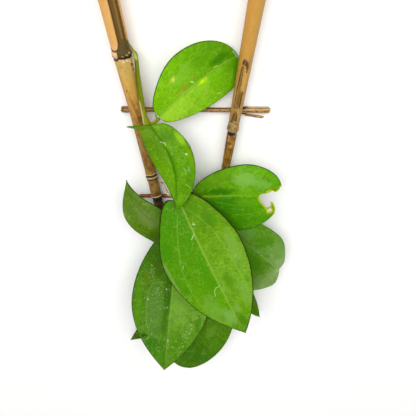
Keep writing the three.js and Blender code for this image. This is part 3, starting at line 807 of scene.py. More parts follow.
# Each fine ring has its place, how far it stands out, its half length, and its tone from -1 for black
# to 1 for cream. The strip is the rough dark skin in the channel: its two borders across, in shares of
# the radius. Blotched says how strongly the skin is blotched from place to place.
NO_STRIP = (2.0, -2.0)
CANES = {
    "cane_left": {
        "at_zero": -30.85, "lean": -0.149,
        "radii": [(-56, 2.2), (6, 3.0), (62, 3.65), (88, 4.7), (134, 5.5)],
        "joints": [(-33, 0.25, 2), (4.6, 0.3, 1.6), (18, 0.4, 2.2), (90, 0.45, 2.4), (119, 0.5, 2.6)],
        "channel": {"from": 92, "to": 119, "depth": 0.55, "direction": 68, "half_width": 24},
        "scar": NO_SCAR,
        "rings": [
            (-33.2, -0.3, 0.6, -1.0), (-31.9, 0.25, 0.5, 0.9), (2.8, -0.3, 1.2, -1.1),
            (4.4, 0.0, 0.7, -0.9), (5.5, 0.25, 0.35, 0.8), (15.2, -0.1, 0.35, -0.5),
            (17.3, -0.2, 0.5, -0.9), (18.5, 0.2, 0.35, 0.7), (19.6, -0.35, 0.65, -1.2),
            (20.7, 0.25, 0.35, 0.7), (88.6, -0.25, 0.5, -0.7), (90.6, 0.15, 0.9, 0.0),
            (92.4, -0.2, 0.4, -0.6), (118.0, -0.3, 0.6, -0.8), (119.6, 0.25, 0.6, 0.7),
        ],
        "strip": [
            (-56, NO_STRIP), (87.2, NO_STRIP), (88.2, (-0.3, 1.5)), (92.5, (-0.33, 1.5)),
            (94.5, (-0.1, 1.1)), (97, (0.1, 0.92)), (134, (0.1, 0.88)),
        ],
        "blotched": [(-56, 1), (52, 1), (66, 0.7), (78, 0.35), (86, 0.5), (95, 0.1), (134, 0.1)],
    },
    "cane_right": {
        "at_zero": 7.0, "lean": 0.145,
        "radii": [(-56, 1.9), (26, 2.45), (134, 4.7)],
        "joints": [(-22, 0.2, 1.6), (49, 0.4, 2), (125, 0.45, 2.4)],
        "channel": {"from": 50, "to": 86, "depth": 0.4, "direction": 84, "half_width": 22},
        "scar": {"at": 85, "height": 0.45, "half_length": 1.6, "direction": 86, "half_width": 30},
        "rings": [
            (-22.4, -0.25, 0.5, -1.0), (-21.2, 0.2, 0.5, 0.9), (46.4, -0.35, 0.75, -1.0),
            (48.4, 0.15, 0.5, 0.0), (52.8, -0.15, 0.5, -0.5), (124.0, -0.3, 0.6, -0.8),
            (125.4, 0.25, 0.6, 0.7),
        ],
        "strip": [
            (-56, NO_STRIP), (53.2, NO_STRIP), (54, (-0.5, 0.25)), (58.5, (-0.45, 0.2)),
            (59.8, (-0.4, -0.1)), (61.5, (-0.42, 0.3)), (70.5, (-0.42, 0.32)),
            (71.6, (-0.38, -0.05)), (84, (-0.3, -0.15)), (85, NO_STRIP), (134, NO_STRIP),
        ],
        "blotched": [(-56, 1), (45, 1), (60, 0.8), (84, 0.4), (92, 0.12), (134, 0.1)],
    },
}
RING_STEP = 0.3
PLAIN_STEP = 3.0
FINE_REACH = 3.5
FINE_START = 2.5


def cane_axis(cane):
    """Where the cane's middle line is at place 0, and how it runs on for each millimetre of place."""
    foot_height = between(cane["radii"], CANE_FOOT)
    crossing_height = CROSSBAR_HEIGHT + SEAT + between(cane["radii"], CROSSING)
    slope = (crossing_height - foot_height) / (CROSSING - CANE_FOOT)
    start = vec(cane["at_zero"], 0.0, foot_height - slope * CANE_FOOT)
    return start, vec(cane["lean"], 1.0, slope)


def cane_places(cane):
    """Places along the cane, close together where it has fine rings."""
    fine = [place for place, *_ in cane["rings"]] + [cane["scar"]["at"]]
    places = [CANE_FOOT + SAWN_EDGE]
    while places[-1] < CANE_TOP - SAWN_EDGE:
        away = min(abs(places[-1] - place) for place in fine)
        step = RING_STEP if away < FINE_REACH else min(PLAIN_STEP, away - FINE_START)
        places.append(places[-1] + step)
    places[-1] = CANE_TOP - SAWN_EDGE
    return places


RING_NUMBERS = ("place", "radius", "sawn", "dark", "pale", "blotched", "strip_start", "strip_end")


def cane_rings(cane):
    """A line of points that carries each ring's numbers, from end to end."""
    borders = [[(at, share[k]) for at, share in cane["strip"]] for k in (0, 1)]
    rows = []
    for place in cane_places(cane):
        radius = between(cane["radii"], place)
        radius += sum(swelling * hump(place - at, half) for at, swelling, half in cane["joints"])
        radius += sum(out * hump(place - at, half) for at, out, half, _ in cane["rings"])
        dark = sum(max(0, -tone) * hump(place - at, half) for at, _, half, tone in cane["rings"])
        pale = sum(max(0, tone) * hump(place - at, half) for at, _, half, tone in cane["rings"])
        strip = [between(border, place) * radius for border in borders]
        rows.append((place, radius, 0.0, dark, pale, between(cane["blotched"], place), *strip))
    foot = between(cane["radii"], CANE_FOOT)
    top = between(cane["radii"], CANE_TOP)
    start = [
        (CANE_FOOT + PITH_DEPTH, 0.0, 1.0), (CANE_FOOT + PITH_DEPTH, foot * PITH_SHARE, 1.0),
        (CANE_FOOT, foot * PITH_SHARE, 1.0), (CANE_FOOT, foot - SAWN_EDGE, 1.0),
    ]
    end = [
        (CANE_TOP, top - SAWN_EDGE, 1.0), (CANE_TOP, top * PITH_SHARE, 1.0),
        (CANE_TOP - PITH_DEPTH, top * PITH_SHARE, 1.0), (CANE_TOP - PITH_DEPTH, 0.0, 1.0),
    ]
    plain = (0.0, 0.0, 0.0, *NO_STRIP)
    rows = [ring + plain for ring in start] + rows + [ring + plain for ring in end]
    columns = dict(zip(RING_NUMBERS, zip(*rows)))
    return points_mesh("rings", [(0.0, 0.0, 0.0)] * len(rows), columns)


class Cane(Shape):
    """The tree that turns a cane from its rings, with a channel and a scar of a lost branch."""

    numbers = (
        "Channel From", "Channel To", "Channel Depth", "Channel Direction", "Channel Half Width",
        "Scar At", "Scar Height", "Scar Half Length", "Scar Direction", "Scar Half Width",
    )

    def __init__(self):
        inputs = {"Rings": "Geometry", "Count": "Int", "Sides": "Int"}
        inputs.update({label: "Vector" for label in ("Start", "Along", "Side", "Top")})
        inputs.update({label: "Float" for label in self.numbers})
        super().__init__("bamboo cane", {**inputs, "Skin": "Material"})
        given = self.given
        x, y, _ = self.parts(self.add("GeometryNodeInputPosition"))
        row = self.calc("ROUND", (y + 0.5) * (given["Count"] - 1.0))
        ring = {name: self.of_ring(name, row) for name in RING_NUMBERS}
        degrees = x * 360.0
        channel = self.channel(ring["place"], degrees)
        scar = self.scar(ring["place"], degrees)
        outside = 1.0 - ring["sawn"]
        relief = scar * given["Scar Height"] - channel * given["Channel Depth"]
        radius = ring["radius"] + relief * outside
        cosine = self.calc("COSINE", x * (2 * math.pi))
        sine = self.calc("SINE", x * (2 * math.pi))
        cane = self.add("GeometryNodeMeshGrid", 1.0, 1.0, given["Sides"] + 1.0, given["Count"])
        skin = self.xyz(radius * cosine, radius * sine, ring["place"])
        cane = self.store(cane, "skin", skin, "FLOAT_VECTOR")
        for name in RING_NUMBERS[2:]:
            cane = self.store(cane, name, ring[name])
        across, up, along = self.parts(self.named("skin", "FLOAT_VECTOR"))
        steps = ((given["Along"], along), (given["Side"], across), (given["Top"], up))
        cane = self.moved(cane, position=self.reached(given["Start"], *steps))
        self.hand_over(self.finish(self.welded(cane), given["Skin"]))

    def of_ring(self, name, row):
        """The number of that name that a ring carries."""
        named = {"Geometry": self.given["Rings"], "Value": self.named(name), "Index": row}
        return self.add("GeometryNodeSampleIndex", named=named)

    def channel(self, place, degrees):
        given = self.given
        lower = (place - given["Channel From"]) / CHANNEL_FADE[0]
        upper = (given["Channel To"] - place) / CHANNEL_FADE[1]
        fade = self.rise(self.calc("MINIMUM", lower, upper), 0.0, 1.0)
        return fade * self.bump(degrees - given["Channel Direction"], given["Channel Half Width"])

    def scar(self, place, degrees):
        given = self.given
        along = self.bump(place - given["Scar At"], given["Scar Half Length"])
        return along * self.bump(degrees - given["Scar Direction"], given["Scar Half Width"])


def cane_values(cane):
    start, along = cane_axis(cane)
    side = along.cross(Vector((0, 0, 1))).normalized()
    values = {"Start": start, "Along": along, "Side": side, "Top": side.cross(along).normalized()}
    for part in ("channel", "scar"):
        for label, value in cane[part].items():
            values[f"{part} {label}".replace("_", " ").title()] = value
    return values


def make_canes(groups):
    tree = Cane()
    for name, cane in CANES.items():
        rings = cane_rings(cane)
        values = cane_values(cane)
        values["Count"] = len(rings.vertices)
        values["Sides"] = CANE_SIDES
        values["Skin"] = make_cane_finish(name, groups)
        stand_for(grow(name + "_stick", tree, rings, values), name)


# The tones of the skin and of the dark strip from place to place. Patches are their place along and
# across, half size along and across, tone and strength. Strokes are their two ends, width and tone.
CANE_LOOKS = {
    "cane_left": {
        "skin": [
            (-56, "7a5a26"), (2, "4c360a"), (8, "7a5a1a"), (14, "8f6c30"), (22, "8c6a20"), (28, "866418"),
            (35, "8e6a2c"), (45, "9a7638"), (53, "a0782e"), (59, "ae8138"), (65, "b6883d"), (72, "c09442"),
            (80, "c8a04e"), (86, "c09e54"), (91, "dcae74"), (97, "d3a058"), (134, "d6a25a"),
        ],
        "strip": [(86, "4e3c06"), (94, "4e3c06"), (97, "5e4404"), (105, "624606"), (134, "6c4a08")],
        "patches": [
            ((90.7, -3.4), (1.3, 1.5), "e4b98e", 0.9), ((76, -3.7), (6, 0.5), "a06848", 0.8),
            ((68, -3.0), (14, 0.8), "b8803f", 0.5), ((76, 2.0), (11, 1.8), "b4923a", 0.6),
            ((81, 1.4), (4, 1.4), "b09c50", 0.6), ((63.5, 0.3), (3.5, 0.9), "805814", 0.8),
            ((59, 1.1), (3, 0.9), "6e480c", 0.8), ((55, 1.6), (2.5, 1.3), "5c4000", 0.8),
            ((67, -0.6), (3, 0.5), "8a6224", 0.6), ((71.6, -1.5), (0.9, 0.5), "6e4018", 0.8),
            ((61, -3.0), (2.2, 0.6), "94642c", 0.7), ((46, -1.9), (0.8, 0.5), "703c2c", 0.8),
            ((25, 0.2), (2.2, 2.0), "664408", 0.6), ((22.4, -0.2), (1.2, 2.2), "9e7420", 0.6),
            ((30, -1.0), (3, 0.8), "66481a", 0.7), ((38, -0.5), (2.5, 1.0), "a47c3c", 0.5),
            ((14.2, -0.6), (1.0, 1.4), "5c3c28", 0.7), ((11, 0.0), (2, 1.4), "8c682c", 0.5),
            ((7.4, 0.8), (1.6, 1.6), "543c08", 0.7),
        ],
        "strokes": [
            ((89.9, -4.9), (88.0, -3.8), 1.2, "371d24"), ((88.0, -3.8), (87.8, -2.4), 1.1, "371d24"),
            ((87.8, -2.4), (89.2, -1.2), 0.9, "2c1818"), ((94.0, -4.9), (92.6, -3.8), 1.0, "371d24"),
            ((92.6, -3.8), (92.2, -2.2), 0.9, "40241c"), ((92.2, -2.2), (92.8, -1.0), 0.7, "40241c"),
            ((88.9, -1.2), (88.4, 0.3), 0.9, "1e1208"), ((88.7, 1.1), (88.2, 2.0), 1.3, "140c04"),
            ((88.8, 2.6), (88.4, 3.4), 1.2, "140c04"), ((88.0, 4.0), (89.3, 4.7), 0.9, "1e1408"),
            ((87.0, 0.6), (86.5, 0.9), 0.8, "dcc898"), ((87.4, 2.3), (86.9, 2.6), 0.8, "dcc898"),
            ((86.6, 3.5), (86.1, 3.7), 0.8, "d8c08c"), ((89.9, 2.9), (89.5, 3.3), 0.7, "b49c5c"),
            ((90.7, 4.2), (90.2, 4.4), 0.7, "b49c5c"), ((89.6, 0.8), (89.3, 1.2), 0.6, "a89058"),
            ((84.7, 4.0), (83.8, 4.2), 0.7, "5c4820"), ((82.0, 4.1), (81.4, 4.2), 0.6, "6a5228"),
            ((96.0, 0.5), (130.0, 0.8), 0.9, "402c04"), ((98.0, 2.7), (130.0, 3.2), 0.9, "80602a"),
            ((96.0, 3.7), (130.0, 4.1), 0.5, "4c3608"),
        ],
    },
    "cane_right": {
        "skin": [
            (-56, "7a5a26"), (31, "8a6210"), (37, "886014"), (43, "8c621c"), (48, "93784a"), (52, "9a8048"),
            (57, "a68646"), (69, "ae8642"), (78, "b0863a"), (86, "b48636"), (92, "bb8a3a"), (134, "bd8a3a"),
        ],
        "strip": [(53, "6d5210"), (59, "75561a"), (66, "84621f"), (84, "86611a")],
        "patches": [
            ((46.4, 2.2), (1.4, 1.5), "8a7548", 0.9), ((57, -2.3), (2.2, 0.5), "b47c38", 0.8),
            ((66, -2.7), (5, 0.5), "b8833c", 0.8), ((60.4, -0.6), (0.9, 1.0), "a48848", 0.7),
            # The grey patch at place 87 beside the scar is a painted shadow.
            ((78, 0.9), (7, 1.0), "b8944c", 0.7), ((87, 2.5), (5, 0.9), "98834e", 0.7),
            ((108, 3.0), (26, 1.4), "b08e4c", 0.7), ((112, -3.2), (10, 0.9), "ca883c", 0.6),
            ((42.3, -1.9), (1.1, 0.7), "cc8a38", 0.9), ((38.7, 0.4), (1.1, 1.1), "c48a46", 0.85),
            ((44.4, -1.5), (0.8, 0.5), "c08034", 0.8), ((35, -1.5), (1.2, 0.6), "96692a", 0.6),
            ((41, 1.6), (1.2, 0.7), "a87c44", 0.7), ((40.4, -1.0), (0.5, 1.3), "442c04", 0.8),
            ((36.7, 0.2), (0.7, 1.9), "543806", 0.7), ((43.8, 0.8), (1.2, 1.1), "5a4418", 0.7),
            ((30, -0.5), (1.0, 2.0), "4c3000", 0.6), ((86.3, -0.3), (1.7, 1.3), "5c4014", 0.85),
            ((84.6, 1.5), (3.0, 0.7), "7c5a26", 0.7), ((77, -1.6), (7, 0.5), "6e4c14", 0.7),
            ((66, 0.2), (5, 1.6), "75541c", 0.5),
        ],
        "strokes": [
            ((85.3, -1.2), (87.0, -1.0), 1.0, "3c240a"), ((85.0, 0.2), (86.4, 0.6), 1.1, "3c240a"),
            ((83.2, 1.2), (85.2, 0.9), 1.1, "4c3010"), ((81.2, 1.4), (83.2, 1.3), 0.8, "66461a"),
            ((72.0, -1.9), (83.8, -1.5), 0.6, "4c3008"), ((74.0, -0.4), (84.0, -0.8), 0.4, "66461a"),
            ((62.0, 1.0), (70.6, 1.1), 0.8, "462c06"), ((61.0, -1.8), (71.0, -1.9), 0.6, "5c3e14"),
            ((64.0, -0.4), (69.0, -0.2), 0.5, "5c3e14"), ((54.0, -1.7), (58.0, -1.4), 0.9, "4c340a"),
            ((54.2, 0.6), (57.6, 0.5), 0.6, "4c340a"), ((53.2, -2.3), (53.4, -1.2), 0.7, "4c340a"),
            ((50.6, -2.6), (49.2, -2.6), 0.9, "5e4826"), ((52.6, 0.4), (52.0, 1.4), 0.6, "5e4826"),
            ((34.0, -2.0), (44.0, -2.3), 0.5, "54380c"), ((29.0, 0.6), (36.0, 0.9), 0.6, "54380c"),
            ((46.3, -2.6), (46.2, 0.9), 1.6, "0c0804"), ((45.4, -1.8), (45.3, 0.2), 0.8, "140c04"),
        ],
    },
}


# How fine the grains of the skin and the sawn ends are: round the cane and, last, along it.
FIBRE_GRAIN = (2.6, 2.6, 0.12)
ROUGH_GRAIN = (1.8, 1.8, 0.9)
BLOTCH_GRAIN = (0.8, 0.8, 0.4)
PORE_GRAIN = (2.5, 2.5, 0.2)
CANE_PATCH_GRAIN = 0.7

# The tone and strength of what lies on the skin from end to end.
DARK_BLOTCHES = ("b89050", 0.75)
PALE_BLOTCHES = ("dcae70", 0.35)
PALE_RINGS = ("e6cf9a", 0.85)
DARK_RINGS = ("1c1008", 0.95)
CANE_STROKE_STRENGTH = 0.9


def tones_along(surface, place, stops):
    """A colour that runs through stops, which are pairs of place along the cane and tone."""
    length = CANE_TOP - CANE_FOOT
    stops = [((at - CANE_FOOT) / length, tone) for at, tone in stops]
    return surface.ramp((place - CANE_FOOT) / length, stops)


def make_cane_finish(name, groups):
    look = CANE_LOOKS[name]
    surface = Surface(name.replace("_", " ") + " skin", Specular_IOR_Level=0.3)
    skin = surface.attribute("skin", "Vector")
    x, y, place = surface.parts(skin)
    front = surface.rise(y, -1.0, 1.0)
    fibres = surface.grain(skin, FIBRE_GRAIN, 4.0, 0.65)
    rough = surface.grain(skin, ROUGH_GRAIN, 5.0, 0.75)
    blotches = surface.grain(skin, BLOTCH_GRAIN, 4.0, 0.7)
    blotched = surface.attribute("blotched")
    tone = tones_along(surface, place, look["skin"])
    dark_blotch = surface.rise(blotches, 0.5, 0.64) * blotched
    mark, strength = DARK_BLOTCHES
    tone = surface.darken(dark_blotch * strength, tone, colour(mark))
    pale_blotch = surface.rise(blotches, 0.45, 0.33) * blotched
    pale = surface.rise(surface.attribute("pale") + (rough - 0.5) * 0.9, 0.3, 0.75)
    dark = surface.rise(surface.attribute("dark") + rough - 0.5, 0.35, 0.75)
    for mask, laid_on in ((pale_blotch, PALE_BLOTCHES), (pale, PALE_RINGS), (dark, DARK_RINGS)):
        mark, strength = laid_on
        tone = surface.tint(mask * strength, tone, colour(mark))
    strip_start = surface.attribute("strip_start")
    strip_end = surface.attribute("strip_end")
    to_border = surface.calc("MINIMUM", x - strip_start, strip_end - x)
    strip = surface.rise(to_border + (rough - 0.5) * 1.4, -0.15, 0.3) * front
    tone = surface.tint(strip, tone, tones_along(surface, place, look["strip"]))
    spot = surface.xyz(place, x, 0.0)
    tone = with_patches(surface, groups["patch"], spot, tone, look["patches"], CANE_PATCH_GRAIN, front)
    shown = front * CANE_STROKE_STRENGTH
    tone = with_strokes(surface, groups["scratch"], spot, tone, look["strokes"], shown)
    tone = surface.scaled(tone, 0.55 + fibres * 0.4 + rough * 0.5)
    pores = surface.grain(skin, PORE_GRAIN)
    sawn = surface.tint(surface.rise(pores, 0.55, 0.7), colour("e0c48e"), colour("8c6434"))
    tone = surface.tint(surface.attribute("sawn"), tone, sawn)
    roughness = surface.choose(rough, 0.42, 0.7)
    relief = fibres + rough * (0.5 + strip) - dark * 0.5
    return surface.finish(tone, roughness, relief, 0.16)


# Split crossbars, as bundles of fibres that lie flat on the surface. The outermost fibres run only
# where "outer" says. Each short torn fibre has its place along, across and up, its length and its
# half thickness.

CROSSBARS = {
    "crossbar_upper": {
        "from": (-48.9, 58.0), "to": (34.9, 57.6), "width": 3.3, "height": 3.6, "rows": 5, "columns": 5,
        "outer": [(0.0, 5.4), (69.0, 83.8)], "slot": "split_cane",
        "dark": "54361a", "middle": "a07a44", "pale": "d2b078",
        "torn": [
            (66.9, 1.9, 2.9, 3.6, 0.42), (67.4, 1.2, 3.2, 2.4, 0.38), (67.0, -1.6, 2.9, 3.2, 0.4),
            (67.6, 0.1, 3.3, 2.2, 0.36), (69.2, 2.1, 2.5, 2.2, 0.32), (67.2, 2.4, 2.2, 1.6, 0.3),
        ],
    },
    "crossbar_sliver": {
        "from": (20.2, 54.9), "to": (31.8, 53.1), "width": 1.4, "height": 1.3, "rows": 2, "columns": 2,
        "outer": [], "slot": "split_cane", "dark": "6c4a24", "middle": "a27c46", "pale": "d0b078",
    },
    "crossbar_lower": {
        "from": (-43.2, 2.3), "to": (23.0, 2.0), "width": 2.2, "height": 1.6, "rows": 2, "columns": 3,
        "outer": [], "slot": "brown_cane", "dark": "3c1408", "middle": "8c4620", "pale": "b87038",
    },
}
FIBRE_STEPS = 90
FIBRE_SIDES = 9
FIBRE_SEED = 5
FIBRE_OVERLAP = 1.4
THINNEST_FIBRE = 0.8
TOP_NARROWER = 0.35
RAGGED_END = 0.9
TORN_TONE = -0.3

# A fibre wanders sideways by the wobble, is lumpy along its way, and thins over its last stretch. The
# grains say how quickly that changes along the bar and, with their other numbers, across it.
FIBRE_WOBBLE = 0.3
WOBBLE_GRAIN = (0.18, 1.0, 1.0)
LUMP_GRAIN = (0.35, 2.0, 2.0)
THINNEST_LUMP = 0.72
LUMP_SWELLING = 0.5
THINNED_END = 0.8
THINNING_LENGTH = 0.8
DASH_GRAIN = (0.5, 2.2, 2.2)
THREAD_GRAIN = (1.2, 6.0, 6.0)


def fibre_points(bar):
    """One point for each fibre, at its left end, with its thickness, length and tone."""
    draw = random.Random(FIBRE_SEED)
    start, end = vec(*bar["from"], 0.0), vec(*bar["to"], 0.0)
    run = end - start
    side = Vector((0, 0, 1)).cross(run).normalized()
    points, radii, lengths, tones = [], [], [], []
    row_height = bar["height"] / bar["rows"]
    for i in range(bar["rows"]):
        width = bar["width"] * (1.0 - TOP_NARROWER * (i / bar["rows"]) ** 2)
        columns = bar["columns"] - (i % 2 if bar["columns"] > 2 else 0)
        for j in range(columns):
            radius = max(width / bar["columns"], row_height) / 2 * FIBRE_OVERLAP
            radius *= draw.uniform(THINNEST_FIBRE, 1.0)
            across = (width - 2 * radius) * ((j + 0.5) / columns - 0.5) * columns / max(1, columns - 1)
            up = min(max(row_height * (i + 0.5), radius), bar["height"] - radius)
            outermost = j in (0, columns - 1) and bar["outer"]
            for first, last in outermost or [(0.0, run.length)]:
                first += draw.uniform(0, RAGGED_END)
                last -= draw.uniform(0, RAGGED_END)
                points.append(start + run.normalized() * first + side * across + vec(0, 0, up))
                radii.append(radius)
                lengths.append(last - first)
                tones.append(draw.random())
    for along, across, up, length, radius in bar.get("torn", []):
        points.append(start + run.normalized() * along + side * across + vec(0, 0, up))
        radii.append(radius)
        lengths.append(length)
        tones.append(TORN_TONE)
    return points_mesh("fibres", points, {"half_thickness": radii, "length": lengths, "tone": tones})


class FibreBundle(Shape):
    """The tree that lays fibres side by side from points at their left ends."""

    def __init__(self):
        inputs = {"Ends": "Geometry", "Run": "Vector", "Steps": "Int", "Sides": "Int", "Wobble": "Float"}
        super().__init__("fibre bundle", {**inputs, "Finish": "Material"})
        given = self.given
        line = self.add("GeometryNodeCurvePrimitiveLine", (0.0, 0.0, 0.0), (1.0, 0.0, 0.0))
        line = self.add("GeometryNodeResampleCurve", line, named={"Count": given["Steps"]})
        turn = self.add("FunctionNodeAlignRotationToVector", named={"Vector": given["Run"]}, axis="X")
        size = self.xyz(self.named("length"), 1.0, 1.0)
        named = {"Points": given["Ends"], "Instance": line, "Rotation": turn, "Scale": size}
        fibres = self.add("GeometryNodeInstanceOnPoints", named=named)
        fibres = self.add("GeometryNodeRealizeInstances", fibres)
        place = self.add("GeometryNodeInputPosition")
        drift = self.grain(place, WOBBLE_GRAIN).also("Color")
        drift = self.vector("SUBTRACT", drift, (0.5, 0.5, 0.5))
        drift = self.vector("MULTIPLY", drift, self.xyz(0.0, given["Wobble"], given["Wobble"]))
        x, y, z = self.parts(self.vector("ADD", place, drift))
        radius = self.named("half_thickness")
        along = self.add("GeometryNodeSplineParameter")
        to_end = self.calc("MINIMUM", along, 1.0 - along) * self.named("length")
        lumps = self.grain(place, LUMP_GRAIN, 3.0) * LUMP_SWELLING + THINNEST_LUMP
        full = self.rise(to_end, 0.0, THINNING_LENGTH)
        thickness = radius * lumps * (THINNED_END + full * (1.0 - THINNED_END))
        level = self.calc("MAXIMUM", z, thickness)
        fibres = self.moved(fibres, position=self.xyz(x, y, level))
        bundle = self.swept(fibres, thickness, given["Sides"])
        self.hand_over(self.finish(bundle, given["Finish"]))


def make_crossbars():
    tree = FibreBundle()
    for name, bar in CROSSBARS.items():
        run = vec(*bar["to"], 0.0) - vec(*bar["from"], 0.0)
        values = {
            "Run": run, "Steps": FIBRE_STEPS, "Sides": FIBRE_SIDES, "Wobble": FIBRE_WOBBLE,
            "Finish": make_fibre_finish(name, bar),
        }
        stand_for(grow(name + "_fibres", tree, fibre_points(bar), values), name)


def make_fibre_finish(name, bar):
    surface = Surface(name.replace("_", " ") + " fibres", Specular_IOR_Level=0.2)
    place = surface.place()
    dashes = surface.grain(place, DASH_GRAIN, 5.0, 0.8)
    fine = surface.grain(place, THREAD_GRAIN, 3.0, 0.7)
    shade = dashes + (surface.attribute("tone") - 0.5) * 0.25
    tone = surface.ramp(shade, [(0.38, bar["dark"]), (0.49, bar["middle"]), (0.62, bar["pale"])])
    tone = surface.darken(surface.rise(fine, 0.5, 0.7) * 0.6, tone, colour("b08a58"))
    return surface.finish(tone, surface.choose(fine, 0.6, 0.85), fine + dashes, 0.12)


# Stem, leaf stalks and the dry flower stalk

STEM_ROUTE = [
    (-48.2, 105, 2.9), (-43.6, 96.6, 2.9), (-39.7, 91.2, 4.6), (-37.4, 89.2, 8.9), (-36.8, 79.2, 10),
    (-35.8, 66.1, 11.1), (-34.8, 59.6, 12.6), (-33.2, 54.2, 14.6), (-27, 40, 12.6), (-20.5, 22, 11.2),
    (-15, 6.9, 12), (-11.2, -10.6, 11.2), (-6.4, -21, 11.8), (-1.5, -31, 13), (2.8, -42, 12.8),
    (4.5, -52, 11.6), (6.4, -57.4, 11.2),
]
STEM_THIN = 0.7
STEM_THICK = 1.5
STEM_THICK_FROM = 0.3
# The point of the route where a knot is, how far it stands out, and its half length. A fine groove
# runs round the stem beside each knot.
STEM_KNOTS = [
    (3, 0.3, 1.6), (7, 0.7, 2.4), (10, 0.6, 2.4), (11, 0.6, 2.4), (13, 0.6, 2.2), (15, 0.6, 2.2),
]
KNOT_GROOVE = {"depth": 0.12, "away": 0.6, "half_length": 0.35}
# The route of each leaf stalk, and its half thickness at both ends.
LEAF_STALKS = [
    ([(-33.2, 54.2, 14.6), (-29.4, 54.7, 15), (-26.1, 57.4, 15.2)], 1.0, 0.8),
    ([(-33.2, 54.2, 14.6), (-32.2, 54.6, 15.4), (-31.5, 54.5, 16.2)], 1.1, 0.8),
    ([(-28.6, 55.2, 15), (-27.6, 57.4, 15.2), (-28.2, 59.9, 15.2)], 0.7, 0.3),
    ([(-15, 6.9, 12), (-16.4, 8, 15.6), (-17, 9.4, 19.8)], 1.2, 0.95),
    ([(-15, 6.9, 12), (-12.8, 8, 14.2), (-10.5, 8.9, 15)], 1.1, 0.85),
    ([(-11.2, -10.6, 11.2), (-6.6, -8, 11), (-2.8, -6.9, 10.5)], 1.1, 0.85),
    ([(-11.2, -10.6, 11.2), (-14.6, -10.4, 9.2), (-18.2, -11.9, 7.6)], 1.1, 0.85),
    ([(-1.5, -31, 13), (-6.2, -31.8, 14.2), (-10.8, -31.6, 14.5)], 1.1, 0.85),
    ([(-1.5, -31, 13), (1, -37, 10.2), (2.2, -42.1, 7.7)], 1.0, 0.7),
    ([(4.5, -52, 11.6), (4.8, -56, 11.2), (4.4, -59, 10.7)], 1.1, 0.85),
    ([(4.5, -52, 11.6), (2.4, -58, 7.4), (0.2, -66, 4.8), (-3, -71.5, 4.1)], 1.0, 0.7),
]
DRY_ROUTE = [
    (-17.6, 7.4, 11.9), (-21.4, 7.6, 11.4), (-24, 9.6, 11.2), (-25.4, 13.4, 11.6), (-26.6, 16.6, 12),
    (-27.6, 17.2, 11.4),
]
DRY_THICK = 1.0
DRY_THIN = 0.6
STEM_SIDES = 20
STEM_STEPS = 14
STALK_STEPS = 10
DRY_STEPS = 12
STEM_WRINKLES = {"Wrinkle": 0.15, "Wrinkle Length": 1.6}
DRY_WRINKLES = {"Wrinkle": 0.5, "Wrinkle Length": 0.7}


def shares(line):
    """How far along the line each of its points is, from 0 to 1."""
    run = [0.0]
    for first, second in zip(line, line[1:]):
        run.append(run[-1] + (second - first).length)
    return [distance / run[-1] for distance in run]


def stem_path():
    """The stem's line and half thickness, from its growing tip to its cut lower end."""
    route = [vec(*point) for point in STEM_ROUTE]
    line = smooth_line(route, STEM_STEPS)
    radii = []
    for point, share in zip(line, shares(line)):
        radius = STEM_THIN + (STEM_THICK - STEM_THIN) * rise(share / STEM_THICK_FROM)
        for knot, swelling, half in STEM_KNOTS:
            away = (point - route[knot]).length
            groove = hump(away - KNOT_GROOVE["away"], KNOT_GROOVE["half_length"])
            radius += swelling * hump(away, half) - KNOT_GROOVE["depth"] * groove
        radii.append(radius)
    return line, radii


def even_path(route, first, last, steps):
    """A line whose half thickness changes evenly from the first to the last."""
    line = smooth_line([vec(*point) for point in route], steps)
    return line, [first + (last - first) * share for share in shares(line)]


def paths_mesh(name, paths):
    """Separate lines in one mesh, whose points carry the thickness and the share of the way."""
    points, edges, radii, along = [], [], [], []
    for line, thickness in paths:
        edges += [(len(points) + k, len(points) + k + 1) for k in range(len(line) - 1)]
        points += line
        radii += thickness
        along += shares(line)
    return points_mesh(name, points, {"half_thickness": radii, "share": along}, edges)


class Shoots(Shape):
    """The tree that grows round shoots along lines, as closed tubes that run into each other."""

    def __init__(self):
        inputs = {"Paths": "Geometry", "Sides": "Int", "Wrinkle": "Float", "Wrinkle Length": "Float"}
        super().__init__("shoots", {**inputs, "Finish": "Material"})
        given = self.given
        curve = self.add("GeometryNodeMeshToCurve", given["Paths"])
        shoots = self.swept(curve, self.named("half_thickness"), given["Sides"])
        place = self.add("GeometryNodeInputPosition")
        wrinkles = self.noise(place, self.calc("DIVIDE", 1.0, given["Wrinkle Length"]), 3.0, 0.6) - 0.5
        offset = self.scaled(self.add("GeometryNodeInputNormal"), wrinkles * given["Wrinkle"])
        shoots = self.moved(shoots, offset=offset)
        self.hand_over(self.finish(shoots, given["Finish"]))


def make_shoots(groups):
    tree = Shoots()
    paths = [stem_path()]
    paths += [even_path(route, first, last, STALK_STEPS) for route, first, last in LEAF_STALKS]
    values = {"Sides": STEM_SIDES, **STEM_WRINKLES, "Finish": make_stem_finish(groups)}
    stem = grow("stem_and_leaf_stalks", tree, paths_mesh("stem paths", paths), values)
    stand_for(stem, "vine_stem")
    dry = paths_mesh("dry path", [even_path(DRY_ROUTE, DRY_THICK, DRY_THIN, DRY_STEPS)])
    values = {"Sides": STEM_SIDES, **DRY_WRINKLES, "Finish": make_dry_finish()}
    stand_for(grow("dry_flower_stalk", tree, dry, values), "dry_stalk")


